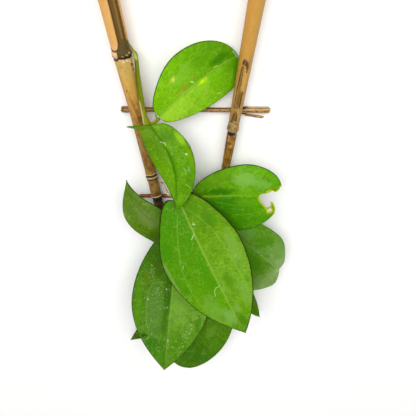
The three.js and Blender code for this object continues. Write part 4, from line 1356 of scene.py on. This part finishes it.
# Marks on the stem, and the tones of the dry stalk from its foot to its tip.
STEM_MARKS = [
    ((-38.8, 90.6), (-36.8, 88.0), 1.8, "a4b050"), ((-37.8, 86.5), (-37.0, 74.0), 1.6, "4c6400"),
    ((-37.0, 74.0), (-35.4, 62.0), 1.4, "566c04"), ((-36.6, 66.0), (-34.0, 52.0), 0.8, "bda870"),
    ((-28.9, 57.6), (-28.6, 60.0), 0.6, "d8cc98"),
]
STEM_MARK_STRENGTH = 0.85
STEM_GRAIN = (2.4, 0.5, 2.4)
DRY_TONES = [
    (0.0, "7a7a20"), (0.3, "8a8438"), (0.42, "e0d4a8"), (0.62, "cdb98c"), (0.85, "d8c49a"),
    (0.97, "9c6a4c"),
]


def make_stem_finish(groups):
    surface = Surface("green stem", Specular_IOR_Level=0.12)
    place = surface.place()
    clouds = surface.noise(place, 0.25, 3.0, 0.6)
    tone = surface.tint(clouds, colour("6c7a00"), colour("848408"))
    fine = surface.grain(place, STEM_GRAIN, 4.0, 0.65)
    tone = surface.darken(surface.rise(fine, 0.5, 0.72) * 0.5, tone, colour("8ca040"))
    spot = surface.vector("SUBTRACT", place, tuple(FOOTPRINT))
    tone = with_strokes(surface, groups["scratch"], spot, tone, STEM_MARKS, STEM_MARK_STRENGTH)
    return surface.finish(tone, surface.choose(fine, 0.4, 0.6), fine, 0.08)


def make_dry_finish():
    surface = Surface("dry flower stalk", Specular_IOR_Level=0.2)
    share = surface.attribute("share")
    place = surface.place()
    fine = surface.noise(place, 1.8, 4.0, 0.7)
    tone = surface.ramp(share + (fine - 0.5) * 0.15, DRY_TONES)
    tone = surface.darken(surface.rise(fine, 0.5, 0.7) * 0.6, tone, colour("b49468"))
    return surface.finish(tone, surface.choose(fine, 0.7, 0.9), fine, 0.2)


# Finish of the leaves

# Each half of a blade runs through a few tones from base (0) to tip (1), with a deeper tone in clouds.
# Patches are their place and half size along and across, their tone and strength. Strokes are their
# two ends, width and tone. Veins are lines of places in the tone of the rib, or in their own, and
# "vein_strength" is that of the two side veins in the blade's relief. Dust is how strongly fine pale
# dust shows. The rims beside a cut have their tone, and where they start and are full beside it.
PLAIN_LOOK = {"vein_strength": 0.0, "dust": 0.15, "patches": [], "veins": [], "strokes": []}
LEAF_LOOKS = {
    "leaf_upper": {
        "slot": "leaf_bright",
        # The lighter tones of the right half are painted sheen.
        "left": [(0, "73ae00"), (0.3, "71ac06"), (0.6, "5f9a00"), (1, "4d8100")],
        "right": [(0, "8bbc1d"), (0.35, "7db216"), (0.65, "69a600"), (1, "4d8100")],
        "deep": "579700", "rib": "9cc440", "rib_strength": 0.8, "vein_strength": 0.2,
        "margin": "1c4200", "margin_width": 0.45, "back": "89ab61", "roughness": 0.4,
        "patches": [
            ((43, -4), (6, 2.6), "307000", 0.8), ((22, -9), (9, 4), "79b42c", 0.5),
            ((9, 3), (9, 5), "93c22c", 0.5), ((26, 3), (7, 3), "86bb2a", 0.5),
            ((36, -10), (9, 4), "528e00", 0.5), ((47, 5), (5, 8), "4c8400", 0.6),
            ((29.5, 1.0), (3.2, 1.3), "9ccc00", 0.8), ((17.4, -10.6), (1.9, 1.6), "a0b824", 0.9),
            ((18.4, -3.1), (4.6, 1.2), "809010", 0.5), ((17.2, 6.8), (1.3, 1.0), "a0b44c", 0.5),
            ((27, 7), (2, 1), "98ac3c", 0.5), ((32, 5), (1.2, 1.8), "689c00", 0.6),
            ((33, -11), (3, 1.2), "4c8a00", 0.6), ((4, -6), (4, 4), "62a000", 0.5),
        ],
        "strokes": [
            ((15.0, -2.5), (18.6, -3.0), 0.6, "a09c38"), ((18.6, -3.2), (22.0, -3.8), 0.8, "98802c"),
            ((24.9, -2.2), (24.1, -3.4), 0.6, "c0d49c"), ((26.6, -5.0), (25.4, -4.4), 0.7, "a88c40"),
            ((17.4, -10.2), (17.9, -10.9), 1.0, "ccd070"), ((28.3, 0.9), (29.4, 0.7), 1.0, "b0d80c"),
            ((31.8, 11.6), (33.4, 12.6), 0.7, "98c464"), ((20.4, 1.2), (22.6, 1.6), 0.5, "98b848"),
            ((51.0, -2.8), (51.3, 1.4), 0.8, "8caa84"), ((38, -1.6), (40, -1.4), 0.6, "a8c450"),
        ],
    },
    "leaf_folded": {
        "slot": "leaf_green",
        "left": [(0, "5f8c00"), (0.25, "5c9000"), (0.6, "548c00"), (1, "508400")],
        "right": [(0, "4c7400"), (0.3, "548400"), (0.5, "5c9000"), (1, "528600")],
        "deep": "447600", "rib": "2f6200", "rib_strength": 0.65, "vein_strength": 0.1,
        "margin": "2c5400", "margin_width": 0.45, "back": "7c9c4c", "roughness": 0.36,
        "patches": [
            # The first patch, pale yellow-green near the margin of the left half, is a painted highlight.
            ((10.5, -9.8), (4.5, 2.0), "8cbc20", 0.8), ((2.2, 9.5), (3, 4), "74840c", 0.8),
            ((8, -4), (5, 4), "447800", 0.7), ((22, -10.5), (6, 1.6), "6c9a00", 0.6),
            ((14, 3), (6, 3), "4c7c00", 0.6), ((22, -1.0), (12, 1.4), "447800", 0.8),
            ((28, -8.2), (2, 0.8), "6c9c50", 0.7), ((4, 5), (3, 4), "64881c", 0.6),
            ((43, -3), (3, 2), "68a010", 0.6),
        ],
        "strokes": [
            ((9.6, 0.2), (10.8, -1.6), 0.7, "a0b874"), ((10.8, -1.6), (12.2, -1.2), 0.6, "a0b874"),
            ((19.4, -8.8), (19.9, -9.1), 0.9, "bccca0"), ((26.6, -5.6), (28.6, -6.8), 0.55, "84a448"),
            ((29.0, -5.9), (30.2, -6.3), 0.55, "84a448"), ((35.4, -5.6), (38.6, -8.4), 0.5, "7ca444"),
            ((46.0, -0.2), (48.6, 0.0), 0.8, "6c4c14"),
        ],
    },
    "leaf_front": {
        "slot": "leaf_green",
        # The lighter left half is painted sheen.
        "left": [(0, "4c7c00"), (0.25, "5d8b06"), (0.6, "67971e"), (0.8, "5f9204"), (1, "4a7b00")],
        "right": [(0, "407c00"), (0.4, "4a8600"), (0.7, "589000"), (0.85, "5f9010"), (1, "4c7800")],
        "deep": "3e7800", "rib": "88ae3c", "rib_strength": 0.85,
        "margin": "241a00", "margin_width": 0.75, "back": "7c9c50", "roughness": 0.4,
        "patches": [
            ((15, -12), (7, 4), "427800", 0.8), ((20, -7), (4, 1.4), "467a00", 0.7),
            # The greyish patch at (38, -18) is painted sheen.
            ((38, -18), (14, 4), "729c38", 0.6), ((56, -7), (8, 2.6), "4e8200", 0.8),
            # The greyish patch at (68, -13) is painted sheen.
            ((86, -3), (7, 3), "447a00", 0.8), ((68, -13), (12, 4), "739f38", 0.6),
            ((72, 10), (13, 6), "6a9e30", 0.6), ((80, 3), (7, 4), "74a248", 0.7),
            ((50, 4), (16, 4), "418200", 0.6), ((24, 20), (7, 4), "388000", 0.7),
            # The narrow pale strip at (44, 25) along the right margin is painted sheen.
            ((48, 21), (8, 3), "448400", 0.6), ((44, 25), (16, 1.1), "6f9444", 0.8),
            ((76, -4), (4, 2.4), "74a042", 0.6), ((6, -4), (5, 5), "467e00", 0.6),
        ],
        "veins": [
            [(5, -3), (12, -7.4), (20, -11), (30, -13.4), (45, -15), (60, -15.8), (70, -14.4)],
            [(6, 3.6), (13, 7), (25, 12), (35, 15.4), (45, 17), (58, 17.4), (70, 15.6)],
        ],
        "strokes": [
            ((14.6, -2.4), (15.2, -3.2), 0.8, "b4cc98"), ((20.4, -0.6), (23.0, 2.4), 0.65, "98b870"),
            ((56.9, -0.7), (57.2, 2.0), 0.6, "98b86c"), ((57.2, 2.0), (58.8, 3.8), 0.6, "98b86c"),
            ((58.8, 3.8), (62.6, 4.9), 0.5, "98b86c"), ((36.4, 14.2), (38.0, 15.0), 0.8, "7cac44"),
            ((41.6, -17.6), (42.4, -17.0), 0.8, "84ac50"), ((41.2, -0.2), (41.4, 0.6), 0.8, "7cac44"),
        ],
    },
    "leaf_bitten": {
        "slot": "leaf_green",
        "left": [(0, "508400"), (0.3, "528200"), (0.6, "5f9a08"), (1, "529000")],
        "right": [(0, "3d7300"), (0.35, "307200"), (0.6, "468200"), (0.85, "559000"), (1, "508a00")],
        "deep": "2f7200", "rib": "8cb81c", "rib_strength": 0.7, "vein": "6ea414",
        "margin": "0c3c00", "margin_width": 0.55, "back": "7c9c48", "roughness": 0.38,
        "cut": [("a4b41c", 1.1, 0.2), ("ac842c", 0.1, -0.5)],
        "patches": [
            # The pale patches at (32, -11) and (41, -8) are painted sheen.
            ((16, -3.8), (11, 2.4), "266800", 0.85), ((32, -11), (8, 5), "78a848", 0.7),
            ((41, -8), (6, 3.5), "6ca23c", 0.6), ((20, 3), (9, 3.5), "307200", 0.6),
            ((42, 15), (6, 4), "418600", 0.5), ((10, -10), (5, 4), "4c8000", 0.6),
            ((32, 3), (8, 2), "589800", 0.5), ((28, 15), (9, 4), "388000", 0.5),
            ((16, -12), (8, 4), "5c8e0c", 0.6), ((8, -1), (3, 1), "90ac14", 0.6),
        ],
        "veins": [
            [(9, -3.6), (12.2, -5.9), (18.1, -8.9), (25, -10.6)], [(24, 12), (33, 11.6), (42, 9.6)],
            [(14, 2.7), (22.4, 5.1), (31.2, 5.9), (40, 4.6)], [(26, -8), (32, -12), (36, -15)],
        ],
        "strokes": [
            ((46.8, -4.3), (49.6, -4.4), 1.3, "7c4c1c"), ((43.6, -3.4), (46.0, -4.4), 1.0, "b4b424"),
            ((43.0, 6.4), (44.4, 7.4), 0.8, "9a5c28"), ((46.6, 8.6), (47.2, 10.4), 0.8, "a8882c"),
        ],
    },
    "leaf_right": {
        "slot": "leaf_grey",
        "left": [(0.2, "5c8c30"), (0.45, "4f8010"), (0.7, "668c3c"), (0.85, "7f9c5c"), (1, "86a066")],
        "right": [(0.3, "4a8408"), (0.6, "447c04"), (0.75, "547e18"), (0.9, "7a9852"), (1, "86a066")],
        "deep": "3d7408", "rib": "8cac58", "rib_strength": 0.5, "vein_strength": 0.05,
        "margin": "3c5c20", "margin_width": 0.3, "back": "7c9860", "roughness": 0.42,
        "patches": [
            ((39, -10), (5, 7), "427c00", 0.8), ((46, 7), (10, 5), "3c7400", 0.8),
            ((27, -7), (5, 5), "5c8c38", 0.7), ((60, -8), (7, 7), "7c9c58", 0.7),
            ((50, -12), (5, 5), "64903c", 0.6), ((63, 10), (6, 6), "789450", 0.6),
            ((46, -3), (4, 2), "487c04", 0.6), ((57, 18), (4, 5), "64883c", 0.5),
        ],
        "veins": [[(47, -0.6), (58, -0.2)], [(40, -1), (50, -6)]],
        "strokes": [((60, 0.6), (63.5, 1.4), 0.6, "a0ac74")],
    },
    "leaf_left": {
        "slot": "leaf_grey",
        "left": [(0.2, "375b00"), (0.5, "4f7004"), (0.75, "5b7823"), (1, "4f7300")],
        "right": [(0.3, "466900"), (0.6, "577528"), (1, "55751d")],
        "deep": "3f660a", "rib": "5f792a", "rib_strength": 0.15,
        "margin": "203818", "margin_width": 0.4, "back": "78945c", "roughness": 0.42,
        "patches": [
            ((36, -1), (9, 4), "667e3c", 0.7), ((46, -4), (8, 3), "487018", 0.6),
            ((20, -7), (9, 4), "375a04", 0.7), ((34, 8), (9, 2), "446e10", 0.6),
        ],
    },
    "leaf_speckled": {
        "slot": "leaf_deep",
        "left": [(0.3, "5c8912"), (0.6, "629122"), (0.8, "4a7c00"), (1, "4a7800")],
        "right": [(0.2, "376700"), (0.45, "447204"), (0.7, "4a780e"), (0.85, "387000"), (1, "407400")],
        "deep": "306200", "rib": "7aa040", "rib_strength": 0.6, "dust": 0.8,
        "margin": "20300a", "margin_width": 0.5, "back": "76945a", "roughness": 0.38,
        "patches": [
            # The first patch, greyish, is painted sheen.
            ((64, 10), (22, 7), "567e32", 0.55), ((50, 2.6), (18, 2.6), "305c00", 0.8),
            ((72, 3), (12, 2.2), "306204", 0.6), ((60, -7), (13, 6), "6c9a34", 0.5),
            ((89, 10), (4, 6), "306a00", 0.6), ((84, 15.4), (2.0, 2.4), "184000", 0.85),
            ((60, 21), (20, 3), "4f8408", 0.7), ((88, -8), (9, 5), "447a00", 0.7),
            ((72, -20), (10, 2.4), "387200", 0.7), ((30, 9), (9, 6), "3c5c00", 0.7),
            ((104, -1.6), (5, 2), "5c8420", 0.7), ((101, 4), (5, 3), "448000", 0.6),
            ((40, 16), (6, 4), "567404", 0.5), ((22, 14), (6, 5), "346000", 0.6),
        ],
        "veins": [[(40, 12), (50, 15), (60, 15.6), (72, 15), (84, 12)], [(50, -9), (62, -11), (76, -9)]],
        "strokes": [
            ((54.8, 15.4), (55.4, 14.9), 1.1, "98ac78"), ((86.2, -0.9), (87.6, -0.5), 1.1, "9cac70"),
            ((66.2, -19.2), (67.0, -18.4), 1.1, "86a45c"), ((72.4, -15.4), (73.2, -15.8), 0.9, "7fa052"),
            ((75.4, -16.0), (75.9, -15.4), 0.8, "86a45c"), ((79.0, -15.4), (79.8, -14.6), 1.0, "86a45c"),
            ((82.8, -14.0), (83.4, -13.0), 0.9, "86a45c"), ((86.4, -12.8), (87.2, -12.6), 0.8, "7fa052"),
            ((90.2, -11.8), (91.2, -11.0), 0.9, "86a45c"), ((95.0, -10.2), (95.8, -9.4), 0.8, "7fa052"),
            ((86.4, -6.6), (86.9, -5.8), 0.8, "7fa052"), ((85.4, 12.6), (86.0, 13.4), 0.8, "7fa052"),
            ((46.2, 3.4), (46.6, 3.8), 0.8, "98ac78"), ((60.0, 1.7), (60.6, 2.1), 0.7, "90a870"),
            ((30.0, 14.4), (30.8, 14.0), 0.8, "8c9c50"),
        ],
    },
    "leaf_olive": {
        "slot": "leaf_olive",
        "left": [(0.4, "467300"), (0.7, "406d00"), (1, "2d6100")],
        "right": [(0.5, "427000"), (0.75, "346800"), (1, "406d00")],
        "deep": "2d6000", "rib": "5b8012", "rib_strength": 0.35, "vein_strength": 0.25,
        "margin": "3a4804", "margin_width": 0.3, "back": "6f8c44", "roughness": 0.38,
        "patches": [
            ((38, -8), (6, 4), "5a8424", 0.7), ((36, 2), (5, 3), "6a9248", 0.5),
            ((74, -3), (3, 6), "566a04", 0.6), ((60, -4), (11, 3), "2c6000", 0.6),
            ((50, -14), (7, 4), "4a7a0c", 0.5),
        ],
        "strokes": [((77.6, 0.2), (78.4, 1.4), 0.8, "4c3410")],
    },
    "leaf_tucked_right": {
        "slot": "leaf_shade",
        "left": [(0, "467100"), (1, "467100")],
        "right": [(0, "4e7704"), (1, "4e7704")],
        "deep": "2f6100", "rib": "577f09", "rib_strength": 0.3,
        "margin": "1d3b00", "margin_width": 0.35, "back": "6a8a44", "roughness": 0.42,
    },
    "leaf_tucked_left": {
        "slot": "leaf_shade",
        "left": [(0, "375b00"), (1, "375b00")],
        "right": [(0, "3d6102"), (1, "3d6102")],
        "deep": "254600", "rib": "4d6b09", "rib_strength": 0.3,
        "margin": "2a2500", "margin_width": 0.35, "back": "6a8444", "roughness": 0.42,
    },
}

# How strongly the deeper clouds and blots, the net of veins, the paler back and the rim of a blade show,
# how far the halves blend at the midrib, how bright the skin is between its pebbles and streaks, and
# how wide the line of the midrib is at the base, how much narrower at the tip, and how far it wanders.
RIB_WIDTH = 0.6
RIB_NARROWER = 0.32
RIB_WANDER = 0.7
CLOUD_STRENGTH = 0.6
BLOT_STRENGTH = 0.4
NET_STRENGTH = 0.12
BACK_STRENGTH = 0.85
RIM_STRENGTH = 0.92
HALVES_BLEND = 1.0
DARKEST_SKIN = 0.06
PEBBLES = 1.5
STREAKS = 0.44
STREAK_GRAIN = (1.2, 0.3, 0.0)


def make_flesh():
    """The green of a blade: its two halves, deeper clouds, and a faint net of veins with pebbly skin."""
    inputs = {"Spot": PLACE, "Left": COLOUR, "Right": COLOUR, "Deep": COLOUR, "Dust": NUMBER}
    group = Group("leaf flesh", "Shader", inputs, {"Color": COLOUR})
    given = group.given
    along, across, _ = group.parts(given["Spot"])
    uneven = (group.noise(given["Spot"], 0.3) - 0.5) * 2.0
    half = group.rise(across + uneven, -HALVES_BLEND, HALVES_BLEND)
    tone = group.tint(half, given["Left"], given["Right"])
    clouds = group.rise(group.noise(given["Spot"], 0.16, 4.0, 0.65), 0.45, 0.72)
    tone = group.tint(clouds * CLOUD_STRENGTH, tone, given["Deep"])
    out = group.calc("ABSOLUTE", across)
    slanted = group.xyz((along - out * 0.9) * 0.17, out * 0.13, 0.0)
    crooked = group.scaled(group.noise(given["Spot"], 0.25, 2.0).also("Color"), 0.35)
    named = {"Vector": group.vector("ADD", slanted, crooked), "Scale": 1.0}
    net = group.add(
        "ShaderNodeTexVoronoi", named=named, feature="DISTANCE_TO_EDGE", voronoi_dimensions="2D"
    )
    faded = group.rise(group.noise(given["Spot"], 0.2, 2.0), 0.4, 0.6)
    veinlets = group.rise(net, 0.11, 0.0) * faded * NET_STRENGTH
    tone = group.tint(veinlets, tone, colour("b0cc60"))
    blots = group.rise(group.noise(given["Spot"], 0.45, 4.0, 0.7), 0.52, 0.68)
    tone = group.tint(blots * BLOT_STRENGTH, tone, given["Deep"])
    dust = group.rise(group.noise(given["Spot"], 1.6, 3.0, 0.75), 0.58, 0.72) * given["Dust"]
    tone = group.tint(dust, tone, colour("9cbc80"))
    pebbles = group.noise(given["Spot"], 0.8, 5.0, 0.8)
    streaks = group.grain(given["Spot"], STREAK_GRAIN, 3.0, 0.6)
    group.give(Color=group.scaled(tone, DARKEST_SKIN + pebbles * PEBBLES + streaks * STREAKS))
    return group


def make_lines():
    """Midrib, side veins, dark margin and paler back, laid over the green of a blade."""
    inputs = {
        "Flesh": COLOUR, "Spot": PLACE, "Edge": NUMBER, "Vein": NUMBER, "Upper": NUMBER,
        "Rib": COLOUR, "Rib Strength": NUMBER, "Vein Strength": NUMBER, "Margin": COLOUR,
        "Margin Width": NUMBER, "Back": COLOUR,
    }
    group = Group("leaf lines", "Shader", inputs, {"Color": COLOUR})
    given = group.given
    _, across, t = group.parts(given["Spot"])
    fine = group.noise(given["Spot"], 1.2, 3.0, 0.7)
    width = RIB_WIDTH - t * RIB_NARROWER
    crooked = (group.noise(given["Spot"], 0.2) - 0.5) * 0.5
    wander = group.bump(t - 0.4, 0.5) * RIB_WANDER + crooked
    rib = group.bump(across + wander, width) * given["Rib Strength"] * group.rise(t, 1.0, 0.85)
    side = group.bump(given["Vein"], SIDE_VEIN_WIDTH) * given["Vein Strength"]
    side = side * group.rise(t, 0.03, 0.12)
    side = side * group.rise(t, 0.85, 0.5)
    under = group.rise(given["Upper"], 0.55, 0.45)
    tone = group.tint(under * BACK_STRENGTH, given["Flesh"], given["Back"])
    tone = group.tint(group.calc("MAXIMUM", rib, side) * (0.5 + fine), tone, given["Rib"])
    uneven = group.noise(given["Spot"], 0.3, 3.0) + 0.5
    reach = given["Margin Width"] * uneven
    rim = group.rise(given["Edge"], reach * 1.35, reach * 0.7)
    group.give(Color=group.tint(rim * RIM_STRENGTH, tone, given["Margin"]))
    return group


# The lines of veins, the other marks of a blade, and how far the fine cells of its skin make it
# smoother and rougher than its own roughness.
VEIN_LINE = {"width": 0.85, "strength": 0.24}
STROKE_STRENGTH = 0.85
LEAF_PATCH_GRAIN = 0.25
CUT_RAGGED = 1.6
SMOOTHER_CELLS = 0.08
ROUGHER_CELLS = 0.12
CELL_RELIEF = 0.08


def make_leaf_finish(name, look, groups):
    wax = {"Specular_IOR_Level": 0.05, "Coat_Weight": 0.015, "Coat_Roughness": 0.2}
    surface = Surface(name.replace("_", " "), **wax)
    spot = surface.attribute("spot", "Vector")
    t = surface.parts(spot)[2]
    left = surface.ramp(t, look["left"])
    right = surface.ramp(t, look["right"])
    deep = colour(look["deep"])
    tone = surface.use(groups["flesh"], Spot=spot, Left=left, Right=right, Deep=deep, Dust=look["dust"])
    tone = with_patches(surface, groups["patch"], spot, tone, look["patches"], LEAF_PATCH_GRAIN)
    tone = surface.use(
        groups["lines"], Flesh=tone, Spot=spot, Edge=surface.attribute("edge"),
        Vein=surface.attribute("vein"), Upper=surface.attribute("upper"), Rib=colour(look["rib"]),
        Rib_Strength=look["rib_strength"], Vein_Strength=look["vein_strength"],
        Margin=colour(look["margin"]), Margin_Width=look["margin_width"], Back=colour(look["back"]),
    )
    vein = look.get("vein", look["rib"])
    for line in look["veins"]:
        steps = [(start, end, VEIN_LINE["width"], vein) for start, end in zip(line, line[1:])]
        tone = with_strokes(surface, groups["scratch"], spot, tone, steps, VEIN_LINE["strength"])
    tone = with_strokes(surface, groups["scratch"], spot, tone, look["strokes"], STROKE_STRENGTH)
    cells = surface.noise(surface.place(), 0.9, 3.0, 0.6)
    if "cut" in look:
        from_cut = surface.attribute("bite") + (cells - 0.5) * CUT_RAGGED
        for mark, start, end in look["cut"]:
            tone = surface.tint(surface.rise(from_cut, start, end), tone, colour(mark))
    smoothest = look["roughness"] - SMOOTHER_CELLS
    roughest = look["roughness"] + ROUGHER_CELLS
    return surface.finish(tone, surface.choose(cells, smoothest, roughest), cells, CELL_RELIEF)


def make_cut_flesh_finish():
    """The healed cut edge of the eaten leaf."""
    surface = Surface("healed cut", Specular_IOR_Level=0.2)
    fine = surface.noise(surface.place(), 1.2, 3.0, 0.6)
    tone = surface.tint(surface.rise(fine, 0.48, 0.62), colour("b0b82c"), colour("b0803a"))
    return surface.finish(tone, surface.choose(fine, 0.5, 0.7), fine, 0.1)


def make_speck_finish():
    surface = Surface("dry speck", Specular_IOR_Level=0.3)
    place = surface.place()
    grains = surface.noise(place, 1.5, 3.0, 0.6)
    tone = surface.tint(grains, colour("6c9448"), colour("a8c088"))
    roughness = surface.choose(grains, 0.6, 0.8)
    return surface.finish(tone, roughness, grains, 0.05)


# Trails of specks on a blade: where a trail starts and ends, how far the specks stray from it, how
# many there are, and their smallest and largest size. Most are small, and none reaches the margin.
SPECKS = {
    "leaf_speckled": [
        ((34, 14), (62, 8), 5.0, 90, (0.25, 0.75)), ((56, 15), (100, 10), 8.0, 90, (0.25, 0.7)),
        ((62, -18), (98, -7), 1.4, 60, (0.3, 0.75)), ((84, -1), (94, -4), 2.2, 16, (0.3, 0.9)),
        ((50, -8), (80, -6), 6.0, 30, (0.2, 0.5)), ((92, 6), (104, 4), 6.0, 26, (0.25, 0.6)),
        ((44, 2.5), (62, 2.5), 1.6, 30, (0.25, 0.7)),
    ],
    "leaf_front": [((30, 13), (66, 16), 9.0, 16, (0.2, 0.4))],
    "leaf_folded": [((18, -8), (40, -7), 2.0, 10, (0.25, 0.5))],
    "leaf_upper": [((14, -6), (40, 8), 12.0, 16, (0.15, 0.35))],
}
SPECK_SEED = 11
SPECK_REACH = 0.93
NARROWEST_REACH = 0.1


def half_width_at(leaf, side, t):
    """How wide the left (0) or right (1) half of a blade is, at t from base to tip."""
    widest = leaf["widest"][side]
    if t > widest:
        away, taper = (t - widest) / (1 - widest), leaf["tip_taper"][side]
    else:
        away, taper = (widest - t) / widest, leaf["base_taper"][side]
    return leaf["half_width"][side] * max(0.0, 1 - away * away) ** taper


def speck_points(name, leaf):
    """Loose points for a leaf's specks, with their place on the blade as attributes."""
    draw = random.Random(SPECK_SEED)
    length = (Vector(leaf["tip"]) - Vector(leaf["base"])).length
    places, sizes = [], []
    for start, end, stray, count, (smallest, largest) in SPECKS.get(name, []):
        for _ in range(count):
            share = draw.random()
            along = start[0] + (end[0] - start[0]) * share + draw.gauss(0, stray / 2)
            across = start[1] + (end[1] - start[1]) * share + draw.gauss(0, stray / 2)
            size = smallest + (largest - smallest) * draw.random() ** 3
            t = along / length
            side = 1 if across > 0 else 0
            reach = across / max(half_width_at(leaf, side, t), NARROWEST_REACH)
            if abs(reach) < SPECK_REACH:
                places.append((t, reach))
                sizes.append(size)
    points = [(0.0, 0.0, 0.0)] * len(places)
    attributes = {
        "speck_t": [t for t, _ in places],
        "speck_reach": [reach for _, reach in places],
        "speck_size": sizes,
    }
    return points_mesh(name + " specks", points, attributes)


def make_leaves(groups):
    blade = LeafBlade()
    specks = make_speck_finish()
    for name, leaf in LEAVES.items():
        look = {**PLAIN_LOOK, **LEAF_LOOKS[name]}
        skin = make_leaf_finish(name, look, groups)
        values = {**blade_values(leaf), "Skin": skin, "Speck Finish": specks}
        piece = grow(name + "_blade", blade, speck_points(name, leaf), values)
        if name == "leaf_bitten":
            bite_leaf(piece, leaf, make_cut_flesh_finish())
        stand_for(piece, name)


mark_groups = {
    "flesh": make_flesh(), "patch": make_soft_patch(), "lines": make_lines(), "scratch": make_scratch(),
}
make_canes(mark_groups)
make_crossbars()
make_shoots(mark_groups)
make_leaves(mark_groups)

# Floor, light and camera, in metres

FLOOR_REACH = 2.0
SKY_STRENGTH = 0.55
LAMP_AIM = (0.0, 0.0, 0.01)
LAMPS = {
    "window": {"place": (-0.25, 0.5, 0.95), "size": 0.8, "power": 7.0},
    "fill": {"place": (0.4, 0.45, 0.9), "size": 0.8, "power": 4.0},
}


def make_floor():
    mesh = bpy.data.meshes.new("floor")
    signs = [(-1, -1), (1, -1), (1, 1), (-1, 1)]
    corners = [(x * FLOOR_REACH, y * FLOOR_REACH, 0) for x, y in signs]
    mesh.from_pydata(corners, [], [(0, 1, 2, 3)])
    floor = new_object("floor", mesh)
    surface = Surface("pale floor")
    fine = surface.noise(surface.place(), 0.4, 3.0, 0.6)
    tone = surface.tint(fine, colour("f4f4f2"), colour("fafaf8"))
    mesh.materials.append(surface.finish(tone, surface.choose(fine, 0.7, 0.8), fine, 0.02))


def make_lamp(name, place, size, power):
    light = bpy.data.lights.new(name, "AREA")
    light.shape = "DISK"
    light.size = size
    light.energy = power
    lamp = new_object(name, light)
    lamp.location = place
    lamp.rotation_euler = (Vector(LAMP_AIM) - Vector(place)).to_track_quat("-Z", "Y").to_euler()


def make_lights():
    world = bpy.data.worlds.new("soft studio")
    world.use_nodes = True
    background = world.node_tree.nodes["Background"]
    background.inputs["Color"].default_value = (1.0, 1.0, 1.0, 1.0)
    background.inputs["Strength"].default_value = SKY_STRENGTH
    bpy.context.scene.world = world
    for name, lamp in LAMPS.items():
        make_lamp(name, **lamp)


CAMERA_TARGET = (0.00411, 0.0011, 0.012)
CAMERA_TILT = 30.0
CAMERA_DISTANCE = 0.28
CAMERA_LENS = 40.0
CAMERA_NEAREST = 0.01


def make_camera():
    camera = bpy.data.cameras.new("camera")
    camera.lens = CAMERA_LENS
    camera.clip_start = CAMERA_NEAREST
    viewer = new_object("camera", camera)
    tilt = math.radians(CAMERA_TILT)
    back = vec(0.0, math.sin(tilt), math.cos(tilt))
    up = vec(0.0, math.cos(tilt), -math.sin(tilt))
    turn = Matrix((up.cross(back), up, back)).transposed()
    place = Vector(CAMERA_TARGET) + back * CAMERA_DISTANCE
    viewer.matrix_world = Matrix.Translation(place) @ turn.to_4x4()
    bpy.context.scene.camera = viewer


make_floor()
make_lights()
make_camera()
bpy.context.scene.view_settings.view_transform = "Standard"
